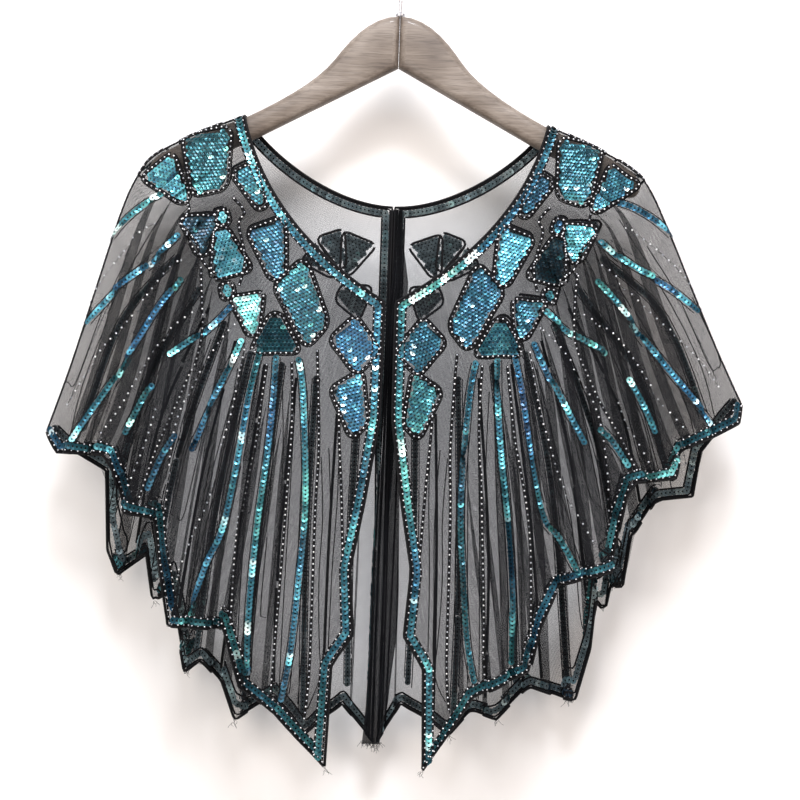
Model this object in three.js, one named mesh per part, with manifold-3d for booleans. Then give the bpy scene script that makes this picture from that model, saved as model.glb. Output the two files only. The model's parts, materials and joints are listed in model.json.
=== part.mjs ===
// A sheer beaded capelet, hung open on a plain wooden hanger. Units are millimetres.
// +Z is up, +X is to the viewer's right, and -Y is the garment's front.
// The origin is the inside top of the hook, where it hangs on a rod or peg.
// "out" is a distance from the centre line, and "drop" a distance below the top of the wood.
import * as THREE from "three";
import Module from "manifold-3d";
import { mergeVertices } from "three/addons/utils/BufferGeometryUtils.js";

const wasm = await Module();
wasm.setup();

// Driving dimensions
const WALL = 1.0; // the cloth's wall
const SEAM_GAP = 0.3; // between pieces that meet at a seam
const HOOK_RISE = 66; // from the inside top of the hook down to the top of the wood
const ARM_DEPTH = 15; // the wood, front to back
const ARM_ROUNDING = 6; // rounding of the wood's long edges
const WIRE_RADIUS = 1.7;
const HOOK_RADIUS = 19; // inside radius of the hook
const BORE_CLEARANCE = 0.3;
const STEM_DEPTH = 24; // how far the hook's stem goes into the wood

// The cloth turns over the shoulder and side line on a radius, and stands further out below.
const SHOULDER_RADIUS = 12;
const SHOULDER_DROP = 130; // the radius starts to grow here
const HEM_DROP = 480; // and is full here
const FRONT_BODY = { hemRadius: 20, flare: 0.04 };
const BACK_BODY = { hemRadius: 18, flare: 0.02 };

const point = (out, drop) => new THREE.Vector2(out, drop);
const zOf = (drop) => -(HOOK_RISE + drop);

// Neck edges of one half, from the centre to the neck point on the shoulder.
const NECK_POINT = point(120.5, 83);
const FRONT_NECK = new THREE.CubicBezierCurve(point(3.5, 229), point(60, 195), point(105, 150), NECK_POINT);
const BACK_NECK = new THREE.CubicBezierCurve(point(SEAM_GAP / 2, 150.5), point(45, 150.5), point(95, 118), NECK_POINT);

// The shoulder and side line of each half, from the neck point over the hanger's tip to the hem.
const SHOULDER = [NECK_POINT, point(160, 99.5), point(190, 116)];
const LEFT_SIDE = new THREE.SplineCurve([
  ...SHOULDER, point(203, 131), point(216, 160), point(236, 228), point(253, 287), point(271, 342),
]);
const RIGHT_SIDE = new THREE.SplineCurve([
  ...SHOULDER, point(204, 131), point(220, 163), point(243, 215), point(265, 263), point(284, 301),
]);

// The centre edges: the front falls open below the neck, and the back runs straight down its seam.
const FRONT_CENTRE = new THREE.SplineCurve([
  point(3.5, 229), point(4, 322), point(15, 400), point(22, 460), point(30, 520), point(37, 588),
]);
const BACK_CENTRE = new THREE.LineCurve(point(SEAM_GAP / 2, 150.5), point(SEAM_GAP / 2, 575));

// The front edge steps in and out near the hem: its own distance out at each drop.
const FRONT_STEPS = [
  { drop: 229, out: 3.5 }, { drop: 322, out: 4 }, { drop: 390, out: 14 }, { drop: 440, out: 23 },
  { drop: 491, out: 19 }, { drop: 514, out: 35 }, { drop: 560, out: 36.5 }, { drop: 598, out: 38 },
];
const STEP_REACH = 0.14; // share of the panel's width that the steps bend

// Pointed hems, from the centre outwards: the corners of the zigzag.
const HEMS = {
  front_left: [
    { out: 38, drop: 598 }, { out: 79, drop: 556 }, { out: 107, drop: 537 }, { out: 121, drop: 491 },
    { out: 167, drop: 491 }, { out: 181, drop: 406 }, { out: 203, drop: 404 }, { out: 217, drop: 359 },
    { out: 260, drop: 358 }, { out: 271, drop: 342 },
  ],
  front_right: [
    { out: 36, drop: 599 }, { out: 76, drop: 538 }, { out: 120, drop: 516 }, { out: 126, drop: 482 },
    { out: 140, drop: 448 }, { out: 181, drop: 436 }, { out: 193, drop: 367 }, { out: 229, drop: 362 },
    { out: 234, drop: 339 }, { out: 261, drop: 327 }, { out: 281, drop: 316 }, { out: 284, drop: 301 },
  ],
  back_left: [
    { out: 0.15, drop: 588 }, { out: 28, drop: 556 }, { out: 58, drop: 582 }, { out: 84, drop: 551 },
    { out: 115, drop: 572 }, { out: 126, drop: 543 }, { out: 144, drop: 524 }, { out: 157, drop: 535 },
    { out: 164, drop: 500 }, { out: 171, drop: 470 }, { out: 185, drop: 478 }, { out: 191, drop: 440 },
    { out: 214, drop: 458 }, { out: 223, drop: 436 }, { out: 226, drop: 372 }, { out: 262, drop: 352 },
    { out: 271, drop: 342 },
  ],
  back_right: [
    { out: 0.15, drop: 588 }, { out: 20, drop: 554 }, { out: 60, drop: 578 }, { out: 77, drop: 558 },
    { out: 98, drop: 564 }, { out: 123, drop: 536 }, { out: 161, drop: 548 }, { out: 172, drop: 505 },
    { out: 175, drop: 466 }, { out: 184, drop: 476 }, { out: 187, drop: 452 }, { out: 199, drop: 451 },
    { out: 201, drop: 415 }, { out: 221, drop: 381 }, { out: 250, drop: 377 }, { out: 256, drop: 340 },
    { out: 284, drop: 301 },
  ],
};
const POINTS_START = 0.6; // where down the panel the points begin to draw the cloth

// Folds from the centre outwards. to: where the fold ends on the hem. depth: how far it stands out.
// lap: how far its sides turn back under it, as a share of its width. start: where down the panel it begins.
const FOLDS = {
  front_left: [
    { to: 100, depth: 6, lap: 0.02, start: 0.5 }, { to: 128, depth: 13, lap: 0.22, start: 0.24 },
    { to: 150, depth: 14, lap: 0.24, start: 0.2 }, { to: 166, depth: 9, lap: 0.15, start: 0.26 },
    { to: 178, depth: 4, lap: 0, start: 0.45 }, { to: 207, depth: 14, lap: 0.27, start: 0.1 },
    { to: 232, depth: 13, lap: 0.28, start: 0.07 }, { to: 255, depth: 11, lap: 0.27, start: 0.06 },
  ],
  front_right: [
    { to: 84, depth: 5, lap: 0, start: 0.5 }, { to: 104, depth: 12, lap: 0.2, start: 0.28 },
    { to: 118, depth: 4, lap: 0, start: 0.45 }, { to: 140, depth: 14, lap: 0.24, start: 0.2 },
    { to: 160, depth: 13, lap: 0.22, start: 0.2 }, { to: 184, depth: 14, lap: 0.26, start: 0.14 },
    { to: 208, depth: 13, lap: 0.27, start: 0.11 }, { to: 234, depth: 13, lap: 0.28, start: 0.08 },
    { to: 260, depth: 11, lap: 0.27, start: 0.06 },
  ],
  back_left: [
    { to: 28, depth: 9, lap: 0.14, start: 0.3 }, { to: 58, depth: 7, lap: 0.04, start: 0.35 },
    { to: 84, depth: 5, lap: 0, start: 0.5 }, { to: 115, depth: 11, lap: 0.2, start: 0.26 },
    { to: 146, depth: 12, lap: 0.22, start: 0.22 }, { to: 186, depth: 12, lap: 0.23, start: 0.2 },
    { to: 222, depth: 11, lap: 0.25, start: 0.1 },
  ],
  back_right: [
    { to: 20, depth: 8, lap: 0.14, start: 0.3 }, { to: 60, depth: 7, lap: 0.03, start: 0.36 },
    { to: 98, depth: 9, lap: 0.16, start: 0.3 }, { to: 128, depth: 12, lap: 0.2, start: 0.24 },
    { to: 164, depth: 12, lap: 0.22, start: 0.22 }, { to: 200, depth: 12, lap: 0.23, start: 0.18 },
    { to: 226, depth: 11, lap: 0.24, start: 0.12 },
  ],
};
const FOLD_LENGTH = 0.45; // share of the panel over which a fold grows to its full depth

// Sections of a panel: its rows from neck to hem, and columns in each fold and in the plain turn at the side.
const FRONT_ROWS = [0, 0.08, 0.16, 0.24, 0.29, 0.37, 0.46, 0.55, 0.64, 0.73, 0.82, 0.91, 1];
const BACK_ROWS = [0, 0.1, 0.18, 0.24, 0.29, 0.38, 0.5, 0.62, 0.75, 0.88, 1];
const FOLD_COLUMNS = { front: 10, back: 7 };
const SIDE_COLUMNS = 8;

const clamp01 = (t) => Math.min(1, Math.max(0, t));
const lerp = (a, b, t) => a + (b - a) * t;
const smooth = (t) => clamp01(t) ** 2 * (3 - 2 * clamp01(t));

// The value of column `want` where column `by` is at, in a table sorted by it.
function readTable(rows, by, at, want) {
  const next = rows.findIndex((row) => row[by] > at);
  if (next === 0) return rows[0][want];
  if (next < 0) return rows[rows.length - 1][want];
  const [a, b] = [rows[next - 1], rows[next]];
  return lerp(a[want], b[want], (at - a[by]) / (b[by] - a[by]));
}

// Where a point of one half lies seen from the front, before its folds: the four edges blended across and down.
function flatPoint(panel, across, down) {
  const [neck, side, centre] = [panel.neck, panel.side, panel.centre];
  const hem = (t) => centre.getPointAt(1).lerp(side.getPointAt(1), t);
  const place = neck.getPointAt(across).multiplyScalar(1 - down);
  place.addScaledVector(hem(across), down);
  place.addScaledVector(centre.getPointAt(down), 1 - across);
  place.addScaledVector(side.getPointAt(down), across);
  place.addScaledVector(neck.getPointAt(0), -(1 - across) * (1 - down));
  place.addScaledVector(neck.getPointAt(1), -across * (1 - down));
  place.addScaledVector(hem(0), -(1 - across) * down);
  place.addScaledVector(hem(1), -across * down);
  // The points of the hem draw the cloth below them down or up.
  const straight = hem(across);
  const corner = point(straight.x, readTable(panel.hem, "out", straight.x, "drop"));
  const drawn = clamp01((down - POINTS_START) / (1 - POINTS_START)) ** 2;
  place.addScaledVector(corner.sub(straight), drawn);
  if (panel.steps) {
    const edge = centre.getPointAt(down);
    const near = clamp01(1 - across / STEP_REACH) ** 2;
    place.x += (readTable(panel.steps, "drop", edge.y, "out") - edge.x) * near;
  }
  return place;
}

// How far in front of (or behind) the hanger the cloth lies at a distance in from the side line.
function bodyDepth(panel, inwards, drop) {
  const grown = smooth((drop - SHOULDER_DROP) / (HEM_DROP - SHOULDER_DROP));
  const radius = lerp(SHOULDER_RADIUS, panel.body.hemRadius, grown);
  const turn = clamp01(inwards / radius);
  return SEAM_GAP / 2 + radius * Math.sqrt(1 - (1 - turn) ** 2) + panel.body.flare * Math.max(0, inwards - radius);
}

// The cloth without folds, in space.
function bodyPoint(panel, across, down) {
  const place = flatPoint(panel, across, down);
  const row = panel.centre.getPointAt(down).distanceTo(panel.side.getPointAt(down));
  const depth = bodyDepth(panel, (1 - across) * row, place.y);
  return new THREE.Vector3(panel.sideSign * place.x, panel.faceSign * depth, zOf(place.y));
}

// Which way the cloth faces there, out of the garment.
function bodyNormal(panel, across, down) {
  const step = 0.004;
  const a = Math.min(across, 1 - 2 * step);
  const along = bodyPoint(panel, a + step, down).sub(bodyPoint(panel, Math.max(0, a - step), down));
  const below = bodyPoint(panel, a, Math.min(1, down + step)).sub(bodyPoint(panel, a, Math.max(0, down - step)));
  const normal = along.cross(below).normalize();
  return normal.multiplyScalar(normal.y * panel.faceSign > 0 ? 1 : -1);
}

// A point of the folded cloth. In a fold, t runs from 0 to 1: the cloth moves across by t + lap sin(4 pi t)
// and out by depth (1 - cos(2 pi t)) / 2, so that a large lap turns its sides back under its crest.
function clothPoint(panel, column, down) {
  const { from, to, t, fold } = column;
  const grown = fold ? smooth((down - fold.start) / FOLD_LENGTH) : 0;
  const lap = fold ? fold.lap * grown : 0;
  const across = clamp01(from + (to - from) * (t + lap * Math.sin(4 * Math.PI * t)));
  const place = bodyPoint(panel, across, down);
  if (!grown) return place;
  const stand = (fold.depth * grown * (1 - Math.cos(2 * Math.PI * t))) / 2;
  return place.addScaledVector(bodyNormal(panel, across, down), stand);
}

// The columns of a panel: even steps in each fold, and steps that close up towards the side line.
function columnsOf(panel) {
  const first = panel.centre.getPointAt(1).x;
  const width = panel.side.getPointAt(1).x - first;
  const columns = [];
  let from = 0;
  for (const fold of panel.folds) {
    const to = (fold.to - first) / width;
    for (let i = 0; i < panel.foldColumns; i++) columns.push({ from, to, t: i / panel.foldColumns, fold });
    from = to;
  }
  for (let i = 0; i <= SIDE_COLUMNS; i++) {
    const left = (1 - i / SIDE_COLUMNS) ** 2;
    columns.push({ from, to: 1, t: 1 - left, fold: null });
  }
  return columns;
}

// A closed wall of cloth: the panel's grid moved out and in by half the wall, and joined round its rim.
function clothWall(panel) {
  const columns = columnsOf(panel);
  const rows = panel.rows;
  const grid = rows.map((down) => columns.map((column) => clothPoint(panel, column, down)));
  const [height, width] = [rows.length, columns.length];
  const normalAt = (r, c) => {
    const along = grid[r][Math.min(width - 1, c + 1)].clone().sub(grid[r][Math.max(0, c - 1)]);
    const below = grid[Math.min(height - 1, r + 1)][c].clone().sub(grid[Math.max(0, r - 1)][c]);
    const normal = along.cross(below);
    if (c === width - 1) normal.y = 0; // its rim faces the other panel across the seam
    if (c === 0 && !panel.steps) normal.x = 0; // so does the rim at the centre-back seam
    return normal.normalize().multiplyScalar(-panel.sideSign * panel.faceSign);
  };
  const positions = [];
  for (const side of [1, -1])
    for (let r = 0; r < height; r++)
      for (let c = 0; c < width; c++) {
        const moved = grid[r][c].clone().addScaledVector(normalAt(r, c), (-side * panel.sideSign * panel.faceSign * WALL) / 2);
        positions.push(moved.x, moved.y, moved.z);
      }
  const faces = [];
  const quad = (a, b, c, d) => faces.push(a, b, c, a, c, d);
  const at = (layer, r, c) => layer * width * height + r * width + c;
  for (let r = 0; r < height - 1; r++)
    for (let c = 0; c < width - 1; c++) {
      quad(at(0, r, c), at(0, r + 1, c), at(0, r + 1, c + 1), at(0, r, c + 1));
      quad(at(1, r, c), at(1, r, c + 1), at(1, r + 1, c + 1), at(1, r + 1, c));
    }
  for (let c = 0; c < width - 1; c++) {
    quad(at(0, 0, c), at(0, 0, c + 1), at(1, 0, c + 1), at(1, 0, c));
    quad(at(0, height - 1, c + 1), at(0, height - 1, c), at(1, height - 1, c), at(1, height - 1, c + 1));
  }
  for (let r = 0; r < height - 1; r++) {
    quad(at(0, r + 1, 0), at(0, r, 0), at(1, r, 0), at(1, r + 1, 0));
    quad(at(0, r, width - 1), at(0, r + 1, width - 1), at(1, r + 1, width - 1), at(1, r, width - 1));
  }
  const geometry = new THREE.BufferGeometry();
  geometry.setAttribute("position", new THREE.Float32BufferAttribute(positions, 3));
  geometry.setIndex(faces);
  return facingOut(geometry);
}

// The same closed shape with its faces turned round if its volume comes out negative.
function facingOut(geometry) {
  const [place, faces] = [geometry.getAttribute("position"), geometry.index.array];
  const corner = (i) => new THREE.Vector3().fromBufferAttribute(place, faces[i]);
  let volume = 0;
  for (let i = 0; i < faces.length; i += 3) volume += corner(i).dot(corner(i + 1).cross(corner(i + 2))) / 6;
  if (volume < 0) for (let i = 0; i < faces.length; i += 3) [faces[i + 1], faces[i + 2]] = [faces[i + 2], faces[i + 1]];
  return geometry;
}

const PANELS = {
  front_left: { sideSign: -1, faceSign: -1, side: LEFT_SIDE },
  front_right: { sideSign: 1, faceSign: -1, side: RIGHT_SIDE },
  back_left: { sideSign: -1, faceSign: 1, side: LEFT_SIDE },
  back_right: { sideSign: 1, faceSign: 1, side: RIGHT_SIDE },
};
for (const [name, panel] of Object.entries(PANELS)) {
  const front = panel.faceSign < 0;
  panel.neck = front ? FRONT_NECK : BACK_NECK;
  panel.centre = front ? FRONT_CENTRE : BACK_CENTRE;
  panel.steps = front ? FRONT_STEPS : null;
  panel.body = front ? FRONT_BODY : BACK_BODY;
  panel.rows = front ? FRONT_ROWS : BACK_ROWS;
  panel.foldColumns = front ? FOLD_COLUMNS.front : FOLD_COLUMNS.back;
  panel.hem = HEMS[name];
  panel.folds = FOLDS[name];
}

// A geometry as a solid that can be cut, and back again.
function toSolid(geometry) {
  const bare = geometry.index ? geometry.toNonIndexed() : geometry.clone();
  bare.deleteAttribute("normal");
  bare.deleteAttribute("uv");
  const merged = mergeVertices(bare, 1e-3);
  return new wasm.Manifold(
    new wasm.Mesh({
      numProp: 3,
      vertProperties: new Float32Array(merged.getAttribute("position").array),
      triVerts: new Uint32Array(merged.index.array),
    }),
  );
}
function toGeometry(solid) {
  const mesh = solid.getMesh();
  const geometry = new THREE.BufferGeometry();
  geometry.setAttribute("position", new THREE.Float32BufferAttribute(mesh.vertProperties, 3));
  geometry.setIndex(Array.from(mesh.triVerts));
  return geometry;
}

// One arm of the hanger: a crown at the centre that sweeps down into a shoulder with a round tip.
function hangerArm(sideSign) {
  const out = (x) => sideSign * x;
  const shape = new THREE.Shape();
  shape.moveTo(out(SEAM_GAP / 2), zOf(0));
  shape.bezierCurveTo(out(22), zOf(0), out(38), zOf(18), out(51), zOf(36));
  shape.bezierCurveTo(out(63), zOf(52.5), out(90), zOf(69.5), out(120), zOf(84.6));
  shape.lineTo(out(160), zOf(101.4));
  shape.lineTo(out(186), zOf(115.6));
  shape.quadraticCurveTo(out(197), zOf(122), out(196), zOf(131));
  shape.quadraticCurveTo(out(195), zOf(140), out(185), zOf(138));
  shape.lineTo(out(106), zOf(98.5));
  shape.lineTo(out(SEAM_GAP / 2), zOf(41.7));
  const options = {
    depth: ARM_DEPTH - 2 * ARM_ROUNDING,
    bevelThickness: ARM_ROUNDING,
    bevelSize: ARM_ROUNDING,
    bevelOffset: -ARM_ROUNDING,
    bevelSegments: 3,
    curveSegments: 7,
  };
  const arm = new THREE.ExtrudeGeometry(shape, options);
  arm.translate(0, 0, -options.depth / 2);
  arm.rotateX(Math.PI / 2);
  return arm;
}

// The arms are glued face to face at the centre, so each is cut square there, and both are bored for the stem.
function finishedArm(sideSign) {
  const plain = toSolid(hangerArm(sideSign));
  const bore = new THREE.CylinderGeometry(WIRE_RADIUS + BORE_CLEARANCE, WIRE_RADIUS + BORE_CLEARANCE, 60, 16);
  bore.rotateX(Math.PI / 2);
  bore.translate(0, 0, zOf(STEM_DEPTH + BORE_CLEARANCE) + 30);
  return toGeometry(plain.subtract(toSolid(bore)));
}

// The steel hook: a straight stem that swings out into a round crook, open on one side.
function hookWire() {
  const middle = HOOK_RADIUS + WIRE_RADIUS;
  const centreZ = -HOOK_RADIUS;
  const route = new THREE.CurvePath();
  const flat = (x, z) => new THREE.Vector3(x, 0, z);
  const onCrook = (degrees) => {
    const angle = THREE.MathUtils.degToRad(degrees);
    return flat(middle * Math.cos(angle), centreZ + middle * Math.sin(angle));
  };
  const stemTop = flat(0, -52);
  const crookStart = -48;
  const crookEnd = 205;
  const turn = [0, 1, 2, 3, 4, 5, 6, 7, 8, 9, 10].map((i) => onCrook(lerp(crookStart, crookEnd, i / 10)));
  route.add(new THREE.LineCurve3(flat(0, zOf(STEM_DEPTH)), stemTop));
  route.add(new THREE.CatmullRomCurve3([stemTop, flat(3.2, -45.5), ...turn], false, "centripetal"));
  const section = new THREE.Shape();
  section.absarc(0, 0, WIRE_RADIUS, 0, 2 * Math.PI);
  return new THREE.ExtrudeGeometry(section, { steps: 56, curveSegments: 5, extrudePath: route, bevelEnabled: false });
}

// The collar round the stem on top of the wood.
function hookCollar() {
  const [inner, outer] = [WIRE_RADIUS + BORE_CLEARANCE, 4.2];
  const [low, high] = [0, 2.6];
  const profile = [
    [inner, low], [outer, low], [outer, high - 1], [outer - 1, high], [inner, high], [inner, low],
  ];
  const ring = new THREE.LatheGeometry(profile.map(([r, h]) => new THREE.Vector2(r, h)), 20);
  ring.rotateX(Math.PI / 2);
  ring.translate(0, 0, zOf(0) + SEAM_GAP);
  return ring;
}

const MATERIALS = {
  net: new THREE.MeshStandardMaterial({ color: "#4a4a50", roughness: 0.85, metalness: 0, side: THREE.DoubleSide }),
  wood: new THREE.MeshStandardMaterial({ color: "#8f8478", roughness: 0.55, metalness: 0 }),
  steel: new THREE.MeshStandardMaterial({ color: "#c9c9cc", roughness: 0.25, metalness: 1 }),
};

const capelet = new THREE.Group();
function add(name, geometry, material) {
  const mesh = new THREE.Mesh(geometry, material);
  mesh.name = name;
  capelet.add(mesh);
}
for (const [name, panel] of Object.entries(PANELS)) add(name, clothWall(panel), MATERIALS.net);
add("hanger_arm_left", finishedArm(-1), MATERIALS.wood);
add("hanger_arm_right", finishedArm(1), MATERIALS.wood);
add("hook", hookWire(), MATERIALS.steel);
add("hook_collar", hookCollar(), MATERIALS.steel);

export default capelet;
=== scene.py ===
# %% [markdown]
# # A sheer beaded capelet on a wooden hanger
# The garment is black net, so thin that the wall shows through it, with turquoise sequins, silver beads
# and black cord sewn on. This lesson builds the net as thin sheets first, because everything else is
# sewn to it: each sequin and bead asks the sheet where it is and which way it faces there.

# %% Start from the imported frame
import json
import math
from collections import defaultdict

import bpy
import numpy as np
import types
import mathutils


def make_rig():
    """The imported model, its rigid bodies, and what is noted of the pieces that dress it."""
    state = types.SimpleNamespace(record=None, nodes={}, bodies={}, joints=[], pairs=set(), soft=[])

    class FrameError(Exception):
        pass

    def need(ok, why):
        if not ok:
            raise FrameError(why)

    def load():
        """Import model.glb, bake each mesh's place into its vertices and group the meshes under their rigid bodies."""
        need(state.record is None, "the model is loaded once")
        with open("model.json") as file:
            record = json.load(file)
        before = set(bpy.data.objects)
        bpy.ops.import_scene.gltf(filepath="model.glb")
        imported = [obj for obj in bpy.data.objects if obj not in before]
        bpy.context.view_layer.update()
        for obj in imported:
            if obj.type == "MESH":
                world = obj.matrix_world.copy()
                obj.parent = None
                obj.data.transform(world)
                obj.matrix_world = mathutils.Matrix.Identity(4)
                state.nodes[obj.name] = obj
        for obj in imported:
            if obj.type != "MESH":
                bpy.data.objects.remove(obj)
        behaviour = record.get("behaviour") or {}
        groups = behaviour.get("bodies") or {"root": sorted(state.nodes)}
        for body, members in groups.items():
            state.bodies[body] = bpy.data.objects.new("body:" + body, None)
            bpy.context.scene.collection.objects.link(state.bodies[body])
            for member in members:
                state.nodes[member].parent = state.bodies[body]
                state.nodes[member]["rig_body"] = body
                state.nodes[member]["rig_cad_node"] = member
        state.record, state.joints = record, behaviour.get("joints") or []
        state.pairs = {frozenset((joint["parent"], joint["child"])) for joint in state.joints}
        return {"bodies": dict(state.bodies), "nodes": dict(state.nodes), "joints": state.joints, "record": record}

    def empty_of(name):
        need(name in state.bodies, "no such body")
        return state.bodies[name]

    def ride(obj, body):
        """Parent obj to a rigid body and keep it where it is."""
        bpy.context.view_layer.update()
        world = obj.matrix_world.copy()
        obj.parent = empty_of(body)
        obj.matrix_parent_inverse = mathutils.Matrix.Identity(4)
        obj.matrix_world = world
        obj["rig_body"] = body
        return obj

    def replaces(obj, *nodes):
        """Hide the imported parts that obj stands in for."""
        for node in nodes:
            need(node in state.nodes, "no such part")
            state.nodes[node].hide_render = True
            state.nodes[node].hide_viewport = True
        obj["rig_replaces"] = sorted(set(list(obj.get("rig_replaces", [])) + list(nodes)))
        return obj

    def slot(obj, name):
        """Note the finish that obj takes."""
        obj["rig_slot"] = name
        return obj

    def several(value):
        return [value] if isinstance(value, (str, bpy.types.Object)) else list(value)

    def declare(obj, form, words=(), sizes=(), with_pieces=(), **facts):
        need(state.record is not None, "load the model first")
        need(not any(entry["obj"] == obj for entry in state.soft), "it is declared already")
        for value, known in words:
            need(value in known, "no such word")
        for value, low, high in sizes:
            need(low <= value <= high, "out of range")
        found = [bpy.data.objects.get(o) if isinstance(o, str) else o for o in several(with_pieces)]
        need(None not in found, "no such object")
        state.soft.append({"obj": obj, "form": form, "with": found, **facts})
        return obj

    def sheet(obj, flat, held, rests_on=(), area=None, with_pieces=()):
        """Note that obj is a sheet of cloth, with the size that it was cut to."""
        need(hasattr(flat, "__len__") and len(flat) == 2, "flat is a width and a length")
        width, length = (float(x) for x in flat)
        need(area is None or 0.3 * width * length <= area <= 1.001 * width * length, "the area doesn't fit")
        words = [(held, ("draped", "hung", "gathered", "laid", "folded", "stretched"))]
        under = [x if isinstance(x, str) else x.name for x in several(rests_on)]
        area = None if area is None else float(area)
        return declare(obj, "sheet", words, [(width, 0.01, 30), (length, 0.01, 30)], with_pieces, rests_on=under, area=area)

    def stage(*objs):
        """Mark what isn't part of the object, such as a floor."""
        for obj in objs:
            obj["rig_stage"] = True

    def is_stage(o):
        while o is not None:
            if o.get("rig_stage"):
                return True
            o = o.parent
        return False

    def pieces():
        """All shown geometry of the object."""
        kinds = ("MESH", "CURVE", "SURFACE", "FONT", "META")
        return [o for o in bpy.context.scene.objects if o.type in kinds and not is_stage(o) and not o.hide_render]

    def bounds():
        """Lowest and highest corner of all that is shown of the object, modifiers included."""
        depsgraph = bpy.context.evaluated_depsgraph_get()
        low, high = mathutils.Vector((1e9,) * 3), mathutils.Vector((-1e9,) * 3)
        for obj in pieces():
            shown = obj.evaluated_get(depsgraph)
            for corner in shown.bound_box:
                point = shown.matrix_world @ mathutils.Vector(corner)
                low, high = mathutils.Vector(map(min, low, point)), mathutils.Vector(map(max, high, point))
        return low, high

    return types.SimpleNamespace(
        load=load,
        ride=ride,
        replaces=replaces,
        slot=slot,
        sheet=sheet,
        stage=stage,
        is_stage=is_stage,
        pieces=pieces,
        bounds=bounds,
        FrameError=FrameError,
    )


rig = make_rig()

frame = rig.load()
cad_box = [[float(value) for value in corner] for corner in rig.bounds()]
rng = np.random.default_rng(11)
MM = 0.001
print("CAD box in metres:", cad_box)

# %% [markdown]
# ## The sizes
# The net is cut as two fronts and two backs. A point of the cloth is named by two shares: across, from
# the centre edge (0) to the shoulder and side line (1), and down, from the neck (0) to the hem (1).
# "out" is a distance from the centre line and "drop" a distance below the top of the wood, both in mm.

# %% The sizes
HOOK_RISE = 66
SEAM_GAP = 0.3
SHOULDER_RADIUS = 12
SHOULDER_DROP = 130
HEM_DROP = 480
POINTS_START = 0.6
STEP_REACH = 0.14
FOLD_LENGTH = 0.45
NECK_POINT = (120.5, 83)
FRONT_NECK = [(3.5, 229), (60, 195), (105, 150), NECK_POINT]
BACK_NECK = [(SEAM_GAP / 2, 150.5), (45, 150.5), (95, 118), NECK_POINT]
SHOULDER = [NECK_POINT, (160, 99.5), (190, 116)]
LEFT_SIDE = SHOULDER + [(203, 131), (216, 160), (236, 228), (253, 287), (271, 342)]
RIGHT_SIDE = SHOULDER + [(204, 131), (220, 163), (243, 215), (265, 263), (284, 301)]
FRONT_CENTRE = [(3.5, 229), (4, 322), (15, 400), (22, 460), (30, 520), (37, 588)]
BACK_CENTRE = [(SEAM_GAP / 2, 150.5), (SEAM_GAP / 2, 575)]

# The front edge steps in and out near the hem: (drop, out).
FRONT_STEPS = [
    (229, 3.5), (322, 4), (390, 14), (440, 23), (491, 19), (514, 35), (560, 36.5), (598, 38),
]

# The corners of the pointed hem, from the centre outwards: (out, drop).
HEMS = {
    "front_left": [
        (38, 598), (79, 556), (107, 537), (121, 491), (167, 491), (181, 406), (203, 404), (217, 359),
        (260, 358), (271, 342),
    ],
    "front_right": [
        (36, 599), (76, 538), (120, 516), (126, 482), (140, 448), (181, 436), (193, 367), (229, 362),
        (234, 339), (261, 327), (281, 316), (284, 301),
    ],
    "back_left": [
        (0.15, 588), (28, 556), (58, 582), (84, 551), (115, 572), (126, 543), (144, 524), (157, 535),
        (164, 500), (171, 470), (185, 478), (191, 440), (214, 458), (223, 436), (226, 372), (262, 352),
        (271, 342),
    ],
    "back_right": [
        (0.15, 588), (20, 554), (60, 578), (77, 558), (98, 564), (123, 536), (161, 548), (172, 505),
        (175, 466), (184, 476), (187, 452), (199, 451), (201, 415), (221, 381), (250, 377), (256, 340),
        (284, 301),
    ],
}

# The folds from the centre outwards: (where it ends on the hem, depth, lap, where down it starts).
FOLDS = {
    "front_left": [
        (100, 6, 0.02, 0.5), (128, 13, 0.22, 0.24), (150, 14, 0.24, 0.2), (166, 9, 0.15, 0.26),
        (178, 4, 0, 0.45), (207, 14, 0.27, 0.1), (232, 13, 0.28, 0.07), (255, 11, 0.27, 0.06),
    ],
    "front_right": [
        (84, 5, 0, 0.5), (104, 12, 0.2, 0.28), (118, 4, 0, 0.45), (140, 14, 0.24, 0.2),
        (160, 13, 0.22, 0.2), (184, 14, 0.26, 0.14), (208, 13, 0.27, 0.11), (234, 13, 0.28, 0.08),
        (260, 11, 0.27, 0.06),
    ],
    "back_left": [
        (28, 9, 0.14, 0.3), (58, 7, 0.04, 0.35), (84, 5, 0, 0.5), (115, 11, 0.2, 0.26),
        (146, 12, 0.22, 0.22), (186, 12, 0.23, 0.2), (222, 11, 0.25, 0.1),
    ],
    "back_right": [
        (20, 8, 0.14, 0.3), (60, 7, 0.03, 0.36), (98, 9, 0.16, 0.3), (128, 12, 0.2, 0.24),
        (164, 12, 0.22, 0.22), (200, 12, 0.23, 0.18), (226, 11, 0.24, 0.12),
    ],
}

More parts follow.
